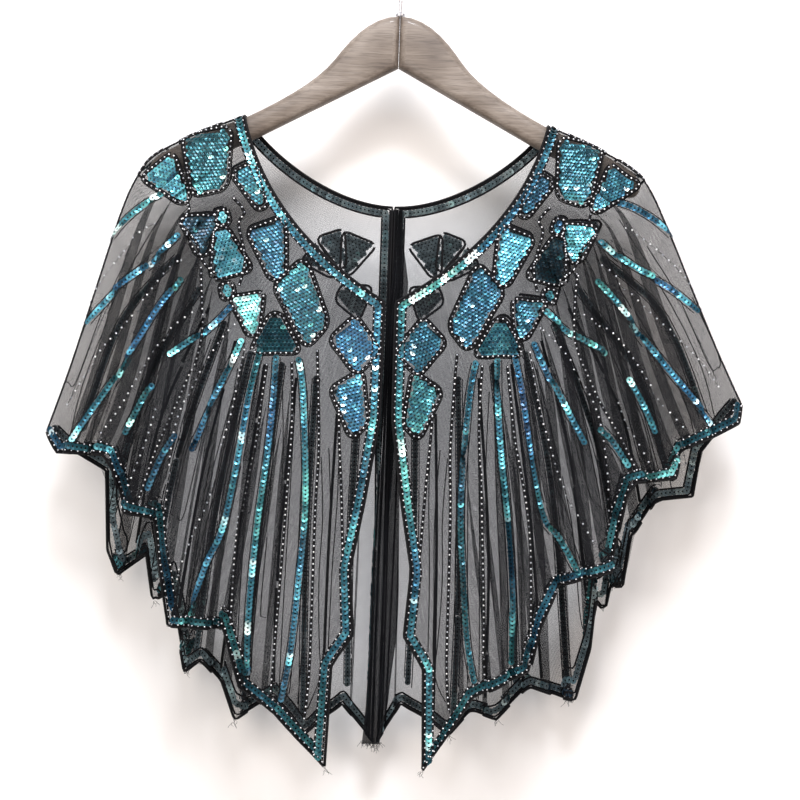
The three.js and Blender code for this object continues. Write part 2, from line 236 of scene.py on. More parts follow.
# Soft creases and ridges: (out, drop) at the top, (out, drop) at the foot, width, height.
CREASES = {
    "front_left": [
        (132, 100, 118, 250, 7, 1.6), (158, 112, 160, 300, 9, 2.2), (180, 122, 196, 330, 8, -1.8),
        (98, 158, 84, 330, 6, 1.4), (70, 190, 60, 420, 7, -1.5), (44, 214, 40, 380, 5, 1.2),
        (205, 160, 226, 330, 8, 2.0), (22, 235, 20, 360, 5, -1.0), (110, 170, 138, 320, 6, 1.3),
    ],
    "front_right": [
        (134, 98, 124, 230, 8, 1.8), (165, 114, 172, 280, 8, 2.0), (186, 124, 205, 300, 7, -1.6),
        (92, 162, 88, 350, 7, 1.6), (62, 198, 66, 400, 6, 1.3), (36, 218, 30, 400, 6, -1.3),
        (212, 168, 240, 300, 9, 2.2), (114, 160, 150, 300, 6, -1.2), (20, 240, 16, 350, 4, 1.0),
    ],
    "back_left": [
        (20, 158, 14, 330, 6, 1.2), (60, 146, 54, 360, 8, -1.6), (100, 126, 110, 340, 9, 1.8),
        (150, 110, 168, 320, 9, -1.8), (192, 130, 222, 330, 9, 2.0),
    ],
    "back_right": [
        (26, 158, 30, 320, 6, -1.2), (56, 148, 66, 380, 8, 1.6), (104, 124, 104, 360, 8, -1.6),
        (146, 108, 160, 330, 10, 2.0), (196, 134, 232, 300, 9, -1.8),
    ],
}
# How the body of each side stands out: (radius at the hem, flare).
BODY = {"front": (20, 0.04), "back": (18, 0.02)}
print("folds:", {name: len(folds) for name, folds in FOLDS.items()})

# %% [markdown]
# ## Curves
# The edges of a panel are curves through a few corners, kept as dense points. A point is read off such
# a line by the share of its length, so that an edge can be walked at an even pace.

# %% Curves
CUBIC_POINTS = 240
POINTS_A_STRETCH = 50


def bezier_line(corners):
    """Dense points of a cubic: (1-t)^3 a + 3 (1-t)^2 t b + 3 (1-t) t^2 c + t^3 d."""
    t = np.linspace(0, 1, CUBIC_POINTS)[:, None]
    a, b, c, d = np.array(corners, float)
    return (1 - t) ** 3 * a + 3 * (1 - t) ** 2 * t * b + 3 * (1 - t) * t**2 * c + t**3 * d


def smooth_line(corners):
    """Dense points of the curve through the corners. From b to c, with slopes m = (c - a) / 2 and
    n = (d - b) / 2, it is b + m t + (3 (c - b) - 2 m - n) t^2 + (2 (b - c) + m + n) t^3."""
    points = np.array(corners, float)
    padded = np.vstack([points[:1], points, points[-1:]])
    t = np.linspace(0, 1, POINTS_A_STRETCH, endpoint=False)[:, None]
    stretches = []
    for a, b, c, d in zip(padded, padded[1:], padded[2:], padded[3:]):
        m, n = (c - a) / 2, (d - b) / 2
        stretches.append(b + m * t + (3 * (c - b) - 2 * m - n) * t**2 + (2 * (b - c) + m + n) * t**3)
    return np.vstack(stretches + [points[-1:]])


def reach_of(line):
    """The length reached at each point of a line, in 2-D or 3-D."""
    return np.concatenate([[0], np.cumsum(np.linalg.norm(np.diff(line, axis=0), axis=1))])


def read_at(at, reached, table):
    """The columns of a table read at values of "reached", between its rows where need be."""
    return np.stack([np.interp(at, reached, column) for column in table.T], axis=-1)


def along(line, share):
    """Points at shares of a line's length."""
    reached = reach_of(line)
    return read_at(np.asarray(share) * reached[-1], reached, line)


def smooth_step(t):
    """t^2 (3 - 2 t), held between 0 and 1."""
    t = np.clip(t, 0, 1)
    return t * t * (3 - 2 * t)


def unit(vectors):
    """Vectors scaled to length 1."""
    return vectors / np.maximum(np.linalg.norm(vectors, axis=-1, keepdims=True), 1e-9)


print("length of the neck of a front:", round(reach_of(bezier_line(FRONT_NECK))[-1]), "mm")

# %% [markdown]
# ## The sheet as a formula
# Four edge curves are blended across and down, which gives a smooth flat shape like a paper pattern.
# The points of the hem pull on its lowest part, the whole is turned over the hanger at the side, and
# folds that grow towards the hem are added. A panel also answers the other way round, which shares
# belong to a flat point, so that the ornament can be drawn flat and then be sewn on. All of it works on
# whole arrays of shares at once.

# %% The sheet as a formula
# Steps in shares for slopes, and how fine and far the two searches go.
SLOPE_STEP = 0.003
HALVINGS = 24
FIND_GRID = 41
FIND_STEP = 0.001
FIND_ROUNDS = 10
FIND_REACH = 0.1


class Panel:
    """One cut piece of net, and where each point of it lies."""

    def __init__(self, name):
        self.name = name
        self.word = name.split("_")[0]
        self.front = self.word == "front"
        left = name.endswith("left")
        self.side_sign = -1 if left else 1
        self.face_sign = -1 if self.front else 1
        self.neck = bezier_line(FRONT_NECK if self.front else BACK_NECK)
        self.side = smooth_line(LEFT_SIDE if left else RIGHT_SIDE)
        self.centre = smooth_line(FRONT_CENTRE if self.front else BACK_CENTRE)
        self.hem = np.array(HEMS[name], float)
        self.creases = np.array(CREASES[name], float)
        self.hem_radius, self.flare = BODY[self.word]
        folds = np.array(FOLDS[name], float)
        first, width = self.centre[-1, 0], self.side[-1, 0] - self.centre[-1, 0]
        self.fold_ends = np.concatenate([[0], (folds[:, 0] - first) / width, [1]])
        self.fold_depth, self.fold_lap, self.fold_start = np.vstack([folds[:, 1:], [0, 0, 0]]).T

    def flat(self, across, down):
        """(out, drop) seen from the front: the blend neck (1 - d) + hem d + centre (1 - a) + side a, less
        its four corners, with the hem's points and the front edge's steps drawn in."""
        a, d = across[..., None], down[..., None]
        centre, side, neck = along(self.centre, down), along(self.side, down), along(self.neck, across)
        hem = self.centre[-1] * (1 - a) + self.side[-1] * a
        place = (1 - d) * neck + d * hem + (1 - a) * centre + a * side
        place -= (1 - d) * ((1 - a) * self.neck[0] + a * self.neck[-1])
        place -= d * ((1 - a) * self.centre[-1] + a * self.side[-1])
        drawn = np.clip((down - POINTS_START) / (1 - POINTS_START), 0, 1) ** 2
        place[..., 1] += (np.interp(hem[..., 0], *self.hem.T) - hem[..., 1]) * drawn
        if self.front:
            near = np.clip(1 - across / STEP_REACH, 0, 1) ** 2
            place[..., 0] += (np.interp(centre[..., 1], *np.array(FRONT_STEPS).T) - centre[..., 0]) * near
        return place

    def body(self, across, down):
        """The cloth in space without folds: it turns over the side line on a quarter circle, so its depth
        is r sqrt(1 - (1 - inwards / r)^2), with a little flare beyond."""
        place = self.flat(across, down)
        row = np.linalg.norm(along(self.centre, down) - along(self.side, down), axis=-1)
        inwards = (1 - across) * row
        grown = smooth_step((place[..., 1] - SHOULDER_DROP) / (HEM_DROP - SHOULDER_DROP))
        radius = SHOULDER_RADIUS + (self.hem_radius - SHOULDER_RADIUS) * grown
        turn = np.clip(inwards / radius, 0, 1)
        depth = SEAM_GAP / 2 + radius * np.sqrt(1 - (1 - turn) ** 2)
        depth = depth + self.flare * np.maximum(0, inwards - radius)
        x, y, z = self.side_sign * place[..., 0], self.face_sign * depth, -(HOOK_RISE + place[..., 1])
        return np.stack([x, y, z], axis=-1)

    def facing(self, surface, across, down):
        """Which way a surface faces, out of the garment: (its slope across) x (its slope down)."""
        a_low, a_high = (np.clip(across + step, 0, 1) for step in (-SLOPE_STEP, SLOPE_STEP))
        d_low, d_high = (np.clip(down + step, 0, 1) for step in (-SLOPE_STEP, SLOPE_STEP))
        slope_across = surface(a_high, down) - surface(a_low, down)
        slope_down = surface(across, d_high) - surface(across, d_low)
        return unit(np.cross(slope_across, slope_down)) * self.side_sign * self.face_sign

    def fold_at(self, across, down):
        """Which fold each share across lies in, the fold's ends, and how far it has grown there."""
        passed = np.searchsorted(self.fold_ends, across, side="right")
        index = np.clip(passed - 1, 0, len(self.fold_depth) - 1)
        grown = smooth_step((down - self.fold_start[index]) / FOLD_LENGTH)
        return index, self.fold_ends[index], self.fold_ends[index + 1], grown

    def on_top(self, moved, down):
        """The share across of the layer seen from outside at a place. A fold's t + lap sin(4 pi t) turns
        back where t = turn = arccos(-1 / (4 pi lap)) / (4 pi), so the outer layer has t from 0.5 - turn to
        0.5 + turn, and the layers beside it have t below turn and above 1 - turn. t is found by halving."""
        index, start, end, grown = self.fold_at(moved, down)
        want = (moved - start) / (end - start)
        lap = self.fold_lap[index] * grown
        steep = np.maximum(4 * np.pi * lap, 1.0001)
        turn = np.arccos(-1 / steep) / (4 * np.pi)
        first = 0.5 - turn + lap * np.sin(4 * np.pi * (0.5 - turn))
        laps = 4 * np.pi * lap > 1
        low = np.where(laps, np.select([want < first, want > 1 - first], [0, 1 - turn], 0.5 - turn), 0)
        high = np.where(laps, np.select([want < first, want > 1 - first], [turn, 1], 0.5 + turn), 1)
        for _ in range(HALVINGS):
            t = (low + high) / 2
            short = t + lap * np.sin(4 * np.pi * t) < want
            low, high = np.where(short, t, low), np.where(short, high, t)
        return start + (end - start) * (low + high) / 2

    def cloth(self, across, down):
        """The folded cloth. Within a fold t runs from 0 to 1: the cloth moves across to t + lap sin(4 pi t)
        and out by depth (1 - cos(2 pi t)) / 2. Each crease adds height exp(-(distance / width)^2)."""
        index, start, end, grown = self.fold_at(across, down)
        t = (across - start) / (end - start)
        lap = self.fold_lap[index] * grown
        moved = np.clip(start + (end - start) * (t + lap * np.sin(4 * np.pi * t)), 0, 1)
        stand = self.fold_depth[index] * grown * (1 - np.cos(2 * np.pi * t)) / 2
        seen = self.flat(moved, down)
        for top_out, top_drop, foot_out, foot_drop, width, height in self.creases:
            top, run = np.array([top_out, top_drop]), np.array([foot_out - top_out, foot_drop - top_drop])
            share = np.clip(((seen - top) @ run) / (run @ run), 0, 1)
            distance = np.linalg.norm(seen - top - share[..., None] * run, axis=-1)
            stand = stand + height * np.exp(-((distance / width) ** 2)) * np.sin(np.pi * share) ** 2
        place = self.body(moved, down)
        return place + self.facing(self.body, moved, down) * stand[..., None]

    def find(self, points):
        """The shares (across, down) of flat points, by Newton steps from the nearest of a coarse grid."""
        grid = np.linspace(0, 1, FIND_GRID)
        a_grid, d_grid = (part.ravel() for part in np.meshgrid(grid, grid))
        coarse = self.flat(a_grid, d_grid)
        apart = np.linalg.norm(points[:, None, :] - coarse[None, :, :], axis=2)
        nearest = np.argmin(apart, axis=1)
        across, down = a_grid[nearest].copy(), d_grid[nearest].copy()
        for _ in range(FIND_ROUNDS):
            a_step = np.where(across > 0.5, -FIND_STEP, FIND_STEP)
            d_step = np.where(down > 0.5, -FIND_STEP, FIND_STEP)
            here = self.flat(across, down)
            to_a = (self.flat(across + a_step, down) - here) / a_step[:, None]
            to_d = (self.flat(across, down + d_step) - here) / d_step[:, None]
            miss = points - here
            spread = to_a[:, 0] * to_d[:, 1] - to_a[:, 1] * to_d[:, 0]
            spread = np.where(np.abs(spread) < 1, np.sign(spread) + (spread == 0), spread)
            move_a = (miss[:, 0] * to_d[:, 1] - miss[:, 1] * to_d[:, 0]) / spread
            move_d = (to_a[:, 0] * miss[:, 1] - to_a[:, 1] * miss[:, 0]) / spread
            across = np.clip(across + np.clip(move_a, -FIND_REACH, FIND_REACH), 0, 1)
            down = np.clip(down + np.clip(move_d, -FIND_REACH, FIND_REACH), 0, 1)
        return across, down


PANELS = {name: Panel(name) for name in HEMS}
print("panels:", ", ".join(PANELS))

# %% [markdown]
# ## Helpers for meshes and materials
# Thousands of small things are made as one joined mesh from arrays, which is quick and keeps the scene
# tidy. Colours are written as the eye sees them (sRGB) and turned to linear light for the renderer.

# %% Helpers for meshes and materials
def mesh_object(name, points, faces, material, uv=None, tint=None, smooth=True):
    """An object from arrays: points in mm, faces as rows of point numbers, uv and tint for each point."""
    mesh = bpy.data.meshes.new(name)
    faces = np.asarray(faces, np.int32)
    mesh.vertices.add(len(points))
    mesh.vertices.foreach_set("co", (np.asarray(points, float) * MM).ravel())
    mesh.loops.add(faces.size)
    mesh.loops.foreach_set("vertex_index", faces.ravel())
    mesh.polygons.add(len(faces))
    mesh.polygons.foreach_set("loop_start", np.arange(0, faces.size, faces.shape[1], dtype=np.int32))
    mesh.polygons.foreach_set("use_smooth", np.full(len(faces), smooth))
    if uv is not None:
        layer = mesh.uv_layers.new(name="cloth_mm")
        layer.data.foreach_set("uv", np.asarray(uv, float)[faces.ravel()].ravel())
    if tint is not None:
        layer = mesh.color_attributes.new("tint", "FLOAT_COLOR", "POINT")
        layer.data.foreach_set("color", np.asarray(tint, float).ravel())
    mesh.update(calc_edges=True)
    mesh.validate()
    mesh.materials.append(material)
    made = bpy.data.objects.new(name, mesh)
    bpy.context.scene.collection.objects.link(made)
    return made


def colour(code):
    """An sRGB hex colour as linear RGBA: c / 12.92 for small c, or else ((c + 0.055) / 1.055)^2.4."""
    channels = np.array([int(code[i:i + 2], 16) for i in (1, 3, 5)]) / 255
    linear = np.where(channels <= 0.04045, channels / 12.92, ((channels + 0.055) / 1.055) ** 2.4)
    return (*(float(value) for value in linear), 1.0)


def new_material(name):
    """An empty material and its node tree."""
    material = bpy.data.materials.new(name)
    material.use_nodes = True
    material.node_tree.nodes.clear()
    return material, material.node_tree


def add(tree, kind, inputs=None, **settings):
    """Adds a node. An input is set to a value, or linked where the value is another node's output."""
    made = tree.nodes.new(kind)
    for key, value in settings.items():
        setattr(made, key, value)
    for key, value in (inputs or {}).items():
        if isinstance(value, bpy.types.NodeSocket):
            tree.links.new(value, made.inputs[key])
        else:
            made.inputs[key].default_value = value
    return made


def maths(tree, operation, *values):
    """A maths node's output."""
    return add(tree, "ShaderNodeMath", dict(enumerate(values)), operation=operation).outputs[0]


def vector_maths(tree, operation, *values, output=0):
    """A vector maths node's output."""
    return add(tree, "ShaderNodeVectorMath", dict(enumerate(values)), operation=operation).outputs[output]


def ramp(tree, factor, stops):
    """A colour ramp's output: stops are (position, hex colour)."""
    made = add(tree, "ShaderNodeValToRGB", {"Fac": factor})
    elements = made.color_ramp.elements
    while len(elements) < len(stops):
        elements.new(0.5)
    for element, (position, code) in zip(elements, stops):
        element.position = position
        element.color = colour(code)
    return made.outputs["Color"]


def finish_material(tree, **inputs):
    """A Principled surface with these inputs, joined to the output."""
    sockets = {key.replace("_", " "): value for key, value in inputs.items()}
    surface = add(tree, "ShaderNodeBsdfPrincipled", sockets).outputs[0]
    add(tree, "ShaderNodeOutputMaterial", {"Surface": surface})


print("middle grey in linear light:", round(colour("#808080")[0], 3))

# %% [markdown]
# ## The net
# Net is a lace of six-sided holes. At the holes the surface is see-through and at the yarn it is black,
# so one layer looks grey against a pale wall and each further layer darkens it, as in the real thing.
# The holes are drawn by a formula on a map in real millimetres, so they stay 1 mm wide in every fold.

# %% The net
# A hole, its yarn and a cloudy patch of the cloth in mm, and how far the cover changes in a patch.
NET_CELL = 1.0
NET_YARN = 0.15
CLOUD = 33.3
FIBRE_SWING = 0.2
HALF_CELL = (0.5, math.sqrt(3) / 2, 0.5)
MINUS_HALF_CELL = tuple(-value for value in HALF_CELL)


def hexagon_edge(tree, place):
    """How near a flat place is to the edge of its six-sided cell, from 0 at the centre to 0.5. Of the two
    cell centres wrapped nearest to it, the closer one gives g, and the answer is
    max(|gx|, |gx| / 2 + |gy| sqrt(3) / 2)."""
    first = vector_maths(tree, "WRAP", place, HALF_CELL, MINUS_HALF_CELL)
    shifted = vector_maths(tree, "SUBTRACT", place, HALF_CELL)
    second = vector_maths(tree, "WRAP", shifted, HALF_CELL, MINUS_HALF_CELL)
    first_far = vector_maths(tree, "LENGTH", first, output="Value")
    second_far = vector_maths(tree, "LENGTH", second, output="Value")
    nearer = maths(tree, "LESS_THAN", first_far, second_far)
    chosen = add(tree, "ShaderNodeMix", {0: nearer, 4: second, 5: first}, data_type="VECTOR")
    g = vector_maths(tree, "ABSOLUTE", chosen.outputs[1])
    slanted = vector_maths(tree, "DOT_PRODUCT", g, (0.5, math.sqrt(3) / 2, 0), output="Value")
    straight = add(tree, "ShaderNodeSeparateXYZ", {0: g}).outputs[0]
    return maths(tree, "MAXIMUM", slanted, straight)


def net_material(name, hole_cover):
    """Black net: opaque at the yarn, and hole_cover of opaque in the holes, where fine fibres cross."""
    material, tree = new_material(name)
    map_mm = add(tree, "ShaderNodeUVMap", uv_map="cloth_mm").outputs[0]
    place = vector_maths(tree, "DIVIDE", map_mm, (NET_CELL, NET_CELL, 1))
    edge = hexagon_edge(tree, place)
    yarn = maths(tree, "GREATER_THAN", edge, 0.5 - NET_YARN / 2)
    patches = {"Vector": map_mm, "Scale": 1 / CLOUD, "Detail": 3.0}
    cloudy = add(tree, "ShaderNodeTexNoise", patches).outputs[0]
    fibres = maths(tree, "MULTIPLY_ADD", cloudy, FIBRE_SWING, hole_cover - FIBRE_SWING / 2)
    cover = maths(tree, "MAXIMUM", yarn, fibres)
    shade = ramp(tree, cloudy, [(0.3, "#0a0b0e"), (0.7, "#15161a")])
    twist = add(tree, "ShaderNodeBump", {"Strength": 0.4, "Distance": 0.0002, "Height": edge}).outputs[0]
    finish_material(
        tree, Base_Color=shade, Roughness=0.8, Alpha=cover, Normal=twist, Specular_IOR_Level=0.15,
    )
    return material


net = net_material("black_hexagon_net", 0.22)
gathered_net = net_material("gathered_net_at_seam", 0.86)
print("net:", net.name, "and", gathered_net.name)

# %% [markdown]
# ## The four sheets
# A sheet is a grid with more columns in the folds. It replaces the solid wall of its panel, carries the
# map in millimetres of cloth, and states the size that it was cut to, with its folds opened out.

# %% The four sheets
SHEET_ROWS = 116
FOLD_STEPS = 26
SIDE_STEPS = 22
SIDE_CROWDING = 1.6


def sheet_shares(panel):
    """The columns of a sheet: even steps in each fold, and steps that close up towards the side line."""
    ends = panel.fold_ends
    columns = [np.linspace(a, b, FOLD_STEPS, endpoint=False) for a, b in zip(ends[:-2], ends[1:-1])]
    columns.append(1 - (1 - ends[-2]) * np.linspace(1, 0, SIDE_STEPS) ** SIDE_CROWDING)
    return np.concatenate(columns)


def grid_faces(height, width, flip):
    """Four-sided faces between the neighbours of a grid of points, turned round where flip is true."""
    corner = np.arange(height * width).reshape(height, width)
    sides = [corner[:-1, :-1], corner[1:, :-1], corner[1:, 1:], corner[:-1, 1:]]
    faces = np.stack(sides, axis=-1).reshape(-1, 4)
    return faces[:, ::-1] if flip else faces


def hung_sheet(name, points, flip, material, rests_on):
    """A hung sheet from a grid of points, with a map in millimetres of cloth and its size as cut."""
    along_row = np.linalg.norm(np.diff(points, axis=1), axis=2)
    along_column = np.linalg.norm(np.diff(points, axis=0), axis=2)
    u = np.pad(np.cumsum(along_row, axis=1), ((0, 0), (1, 0)))
    v = np.pad(np.cumsum(along_column, axis=0), ((1, 0), (0, 0)))
    uv = np.stack([u, v], axis=-1).reshape(-1, 2)
    made = mesh_object(name, points.reshape(-1, 3), grid_faces(*u.shape, flip), material, uv=uv)
    width, length = float(u[:, -1].max()) * MM, float(v[-1].max()) * MM
    area = float(np.sum(along_row[:-1] * along_column[:, :-1])) * MM * MM
    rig.ride(made, "root")
    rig.slot(made, "net")
    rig.sheet(made, flat=(width, length), area=area, held="hung", rests_on=[rests_on])
    print(f"{name}: {width:.3f} x {length:.3f} m as cut, {area:.3f} square metres of net")
    return made


for panel in PANELS.values():
    across, down = np.meshgrid(sheet_shares(panel), np.linspace(0, 1, SHEET_ROWS))
    arm = "hanger_arm_left" if panel.side_sign < 0 else "hanger_arm_right"
    flip = panel.side_sign * panel.face_sign < 0
    sheet = hung_sheet(f"net_{panel.name}", panel.cloth(across, down), flip, net, arm)
    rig.replaces(sheet, panel.name)

# %% [markdown]
# ## The seam at the centre back
# The seam joins the two backs, and its spare cloth is gathered into narrow pleats. It shows between the
# fronts as a dark strip. It is a sheet too, of net gathered so closely that little light comes through.

# %% The seam at the centre back
# The strip from top to bottom: (drop, where its middle is to the right, width).
SEAM_STRIP = [
    (153, 4, 6), (185, 5, 8), (212, 7, 13), (300, 5, 16), (400, 5, 18), (500, 4, 19), (555, 1, 18),
    (586, -4, 15),
]
STRIP_PLEATS = 6
STEPS_A_PLEAT = 10
STRIP_ROWS = 90
STRIP_STANDS_IN = 1.5

# The shares down at which a centre edge is read.
EDGE_SHARES = np.linspace(0, 1, 60)


def seam_strip_points():
    """The strip in space, a little inside the seam. Across it, a pleat stands in by its depth times
    (1 - cos(2 pi n a)) / 2, where a slow wave shifts a, and others shift the middle and the width. The
    depth grows from 1.6 mm at the neck to 2.8 mm at the hem."""
    table = np.array(SEAM_STRIP, float)
    columns = np.linspace(0, 1, STRIP_PLEATS * STEPS_A_PLEAT + 1)
    a, drop = np.meshgrid(columns, np.linspace(table[0, 0], table[-1, 0], STRIP_ROWS))
    middle = np.interp(drop, table[:, 0], table[:, 1]) + 0.8 * np.sin(drop / 23)
    width = np.interp(drop, table[:, 0], table[:, 2]) + 1.1 * np.sin(drop / 37 + 1)
    seam = PANELS["back_left"].body(np.zeros_like(EDGE_SHARES), EDGE_SHARES)
    seam_depth = np.interp(drop, -HOOK_RISE - seam[:, 2], seam[:, 1])
    shifted = a + 0.035 * np.sin(2 * np.pi * a * 2.3 + drop / 41)
    pleat_depth = 1.6 + 1.2 * (drop - 150) / 430
    pleat = (1 - np.cos(2 * np.pi * STRIP_PLEATS * shifted)) / 2 * pleat_depth
    x, y, z = middle + (a - 0.5) * width, seam_depth - STRIP_STANDS_IN - pleat, -(HOOK_RISE + drop)
    return np.stack([x, y, z], axis=-1)


hung_sheet("net_seam_strip", seam_strip_points(), True, gathered_net, "net_back_left")

# %% [markdown]
# ## Sewing along a line
# A band of sequins, a row of beads and a couched cord all follow a line drawn on the flat pattern. The
# line is found on the cloth, lifted into its folds, and stepped along at an even pitch in space. Both
# halves of the garment have the same drawing, so a line is found once and sewn to each of its panels.

# %% Sewing along a line
# A jump in a line of more than FOLD_EDGE mm is the edge of a fold. A direction is read from LOOK_AHEAD
# mm before to LOOK_AHEAD mm beyond a place. SHARPEST_CORNER keeps a moved line short at its corners.
FOLD_EDGE = 4.5
LOOK_AHEAD = 0.6
SHARPEST_CORNER = 0.35


def dense(line, step=1.6):
    """More points on a flat line, at most about a step apart, with its corners kept."""
    line = np.asarray(line, float)
    reached = reach_of(line)
    extra = np.linspace(0, reached[-1], max(2, int(reached[-1] / step)))
    return read_at(np.unique(np.concatenate([reached, extra])), reached, line)


def on_cloth(panel, across, down, lift):
    """Points lifted off the cloth, and which way it faces there."""
    normal = panel.facing(panel.cloth, across, down)
    return panel.cloth(across, down) + normal * lift, normal


def even_steps(points, normal, pitch):
    """Place, direction and facing at even steps along a line in space."""
    reached = reach_of(points)
    count = max(2, int(reached[-1] / pitch))
    at = (np.arange(count) + 0.5) * reached[-1] / count
    run = read_at(at + LOOK_AHEAD, reached, points) - read_at(at - LOOK_AHEAD, reached, points)
    return read_at(at, reached, points), unit(run), unit(read_at(at, reached, normal))


def sew_line(panels, line, pitch, lift, through_folds=False):
    """Even steps of a line that is drawn flat on the first panel: panel, place, direction and facing.
    A line runs through the folds of a panel, or else it keeps to the outermost layer and stops at the
    edge of each fold that it meets, to go on beyond it."""
    across, down = panels[0].find(dense(line))
    for panel in panels:
        share = across if through_folds else panel.on_top(across, down)
        points, normal = on_cloth(panel, share, down, lift)
        apart = np.linalg.norm(np.diff(points, axis=0), axis=1)
        cuts = [] if through_folds else list(np.flatnonzero(apart > FOLD_EDGE) + 1)
        for start, end in zip([0] + cuts, cuts + [len(points)]):
            if end - start > 2:
                yield panel, *even_steps(points[start:end], normal[start:end], pitch)


def beside(line, distance):
    """A flat line moved sideways, towards the inside of the panel for a line that runs round its edge."""
    line = np.asarray(line, float)
    run = unit(np.diff(line, axis=0))
    inward = np.stack([run[:, 1], -run[:, 0]], axis=1)
    before, after = np.vstack([inward[:1], inward]), np.vstack([inward, inward[-1:]])
    spread = np.maximum(SHARPEST_CORNER, 1 + np.sum(before * after, axis=1, keepdims=True))
    return line + distance * (before + after) / spread


print("a line is cut where it jumps more than", FOLD_EDGE, "mm")

# %% [markdown]
# ## Chains, rows and ropes
# A few ways of following a line are enough for the whole ornament. What is sewn is only listed here,
# with chance changes of brightness and hue along each chain, and made into meshes further on. A shade
# is a sequin's brightness, partly the film's tone and partly painted light: it runs from dark, painted
# shade (0), to a painted white flash (1), and a hue runs from the blue film (0) to the green one (1).

# %% Chains, rows and ropes
SEQUIN_LIFT = 0.9
SEQUIN_HUE = 0.55
BEAD_SHADE = 0.66
FLASH_EVERY = 30


class Sewn:
    """Small things of one kind, kept as arrays until they are made into one mesh."""

    def __init__(self):
        self.parts = []

    def put(self, place, direction, facing, size, shade, hue=0.5):
        """Adds things at these places. size, shade and hue are one value or one for each."""
        values = [np.broadcast_to(value, len(place)) for value in (size, shade, hue)]
        self.parts.append(np.column_stack([place, direction, facing, *values]))

    def __len__(self):
        """How many things there are."""
        return sum(len(part) for part in self.parts)

    def arrays(self):
        """All of them together: place, direction, facing, size, shade, hue."""
        table = np.vstack(self.parts)
        return table[:, 0:3], table[:, 3:6], table[:, 6:9], table[:, 9], table[:, 10], table[:, 11]


sequins, beads, cords = defaultdict(Sewn), defaultdict(Sewn), defaultdict(list)


def print_sewn(step):
    """Prints how many sequins, beads and cords are listed after a step."""
    totals = [sum(len(things) for things in group.values()) for group in (sequins, beads, cords)]
    print("{}: {} sequins, {} beads and {} cords so far".format(step, *totals))


def drift(count, stretch):
    """Slow random change along a chain: chance values a stretch apart, with straight lines between."""
    knots = rng.normal(0, 1, count // stretch + 3)
    return np.interp(np.arange(count) / stretch, np.arange(len(knots)), knots)


def painted_flashes(count):
    """Painted highlights: stretches of one to four sequins, at chance places, made to flash white as film
    does where it faces the window.
    """
    bright = np.zeros(count)
    for start in rng.integers(0, count, count // FLASH_EVERY + 1):
        bright[start:start + rng.integers(1, 5)] = rng.uniform(0.15, 0.5)
    return bright


def sequin_line(group, panels, line, size=5.3, pitch=3.2, shade=0.42, **way):
    """A chain of overlapping sequins, whose shade drifts and flashes by chance as painted light."""
    for panel, place, direction, facing in sew_line(panels, line, pitch, SEQUIN_LIFT, **way):
        count = len(place)
        shades = shade + 0.1 * drift(count, 11) + painted_flashes(count)
        hue = SEQUIN_HUE + 0.4 * drift(count, 17)
        sequins[f"sequins_{group}_{panel.word}"].put(place, direction, facing, size, shades, hue)


def bead_line(group, panels, line, pitch=4.4, size=1.7, lift=1.0, **way):
    """A row of silver beads."""
    for panel, place, direction, facing in sew_line(panels, line, pitch, lift, **way):
        beads[f"beads_{group}_{panel.word}"].put(place, direction, facing, size, BEAD_SHADE)


def cord_line(panels, line, radius=0.42, lift=0.45, step=2.6, **way):
    """A black cord couched down along the line."""
    for panel, place, direction, facing in sew_line(panels, line, step, lift, **way):
        cords[f"cords_{panel.word}"].append((place, direction, facing, radius))


def rope_line(group, panels, line, radius=1.3, pitch=4.6, size=1.6, **way):
    """A thick twisted cord with silver beads sewn along the top of it."""
    cord_line(panels, line, radius=radius, lift=0.7, **way)
    bead_line(group, panels, line, pitch=pitch, size=size, lift=0.9 + radius * 0.7, **way)


# %% [markdown]
# ## Bands round the edges
# Neck, front edges, hem and both sides of the centre-back seam carry the same band: an overcast edge, a
# beaded rope, a chain of sequins and a second beaded rope. Each follows the panel's own outline, moved
# inwards. Where the fronts meet the backs, at the shoulder and side, a beaded rope runs alone.

# %% Bands round the edges
# How far inside the edge each line runs, in mm.
BAND = {"edge": 0.9, "side rope": 1.6, "outer rope": 2.6, "sequins": 5.8, "inner rope": 9.0}
NECK_STRIDE = 8


def outline(panel):
    """The panel's free edges as one flat line: neck from the shoulder, centre edge, hem to the side."""
    neck = panel.neck[::-NECK_STRIDE]
    centre = panel.flat(np.zeros_like(EDGE_SHARES), EDGE_SHARES)
    return np.vstack([neck[:-1], centre, panel.hem[1:]])


for panel in PANELS.values():
    edge = outline(panel)
    through = {"through_folds": True}
    rope = {"radius": 0.8, "pitch": 5.2, "size": 1.4, "through_folds": True}
    cord_line([panel], beside(edge, BAND["edge"]), radius=1.15, lift=0.1, **through)
    rope_line("bands", [panel], beside(edge, BAND["outer rope"]), **rope)
    chain = beside(edge, BAND["sequins"])
    sequin_line("bands", [panel], chain, size=5.7, pitch=3.4, shade=0.46, **through)
    rope_line("bands", [panel], beside(edge, BAND["inner rope"]), **rope)
    if panel.front:
        rope_line("bands", [panel], beside(panel.side[::-1], BAND["side rope"]), **rope)
print_sewn("bands")
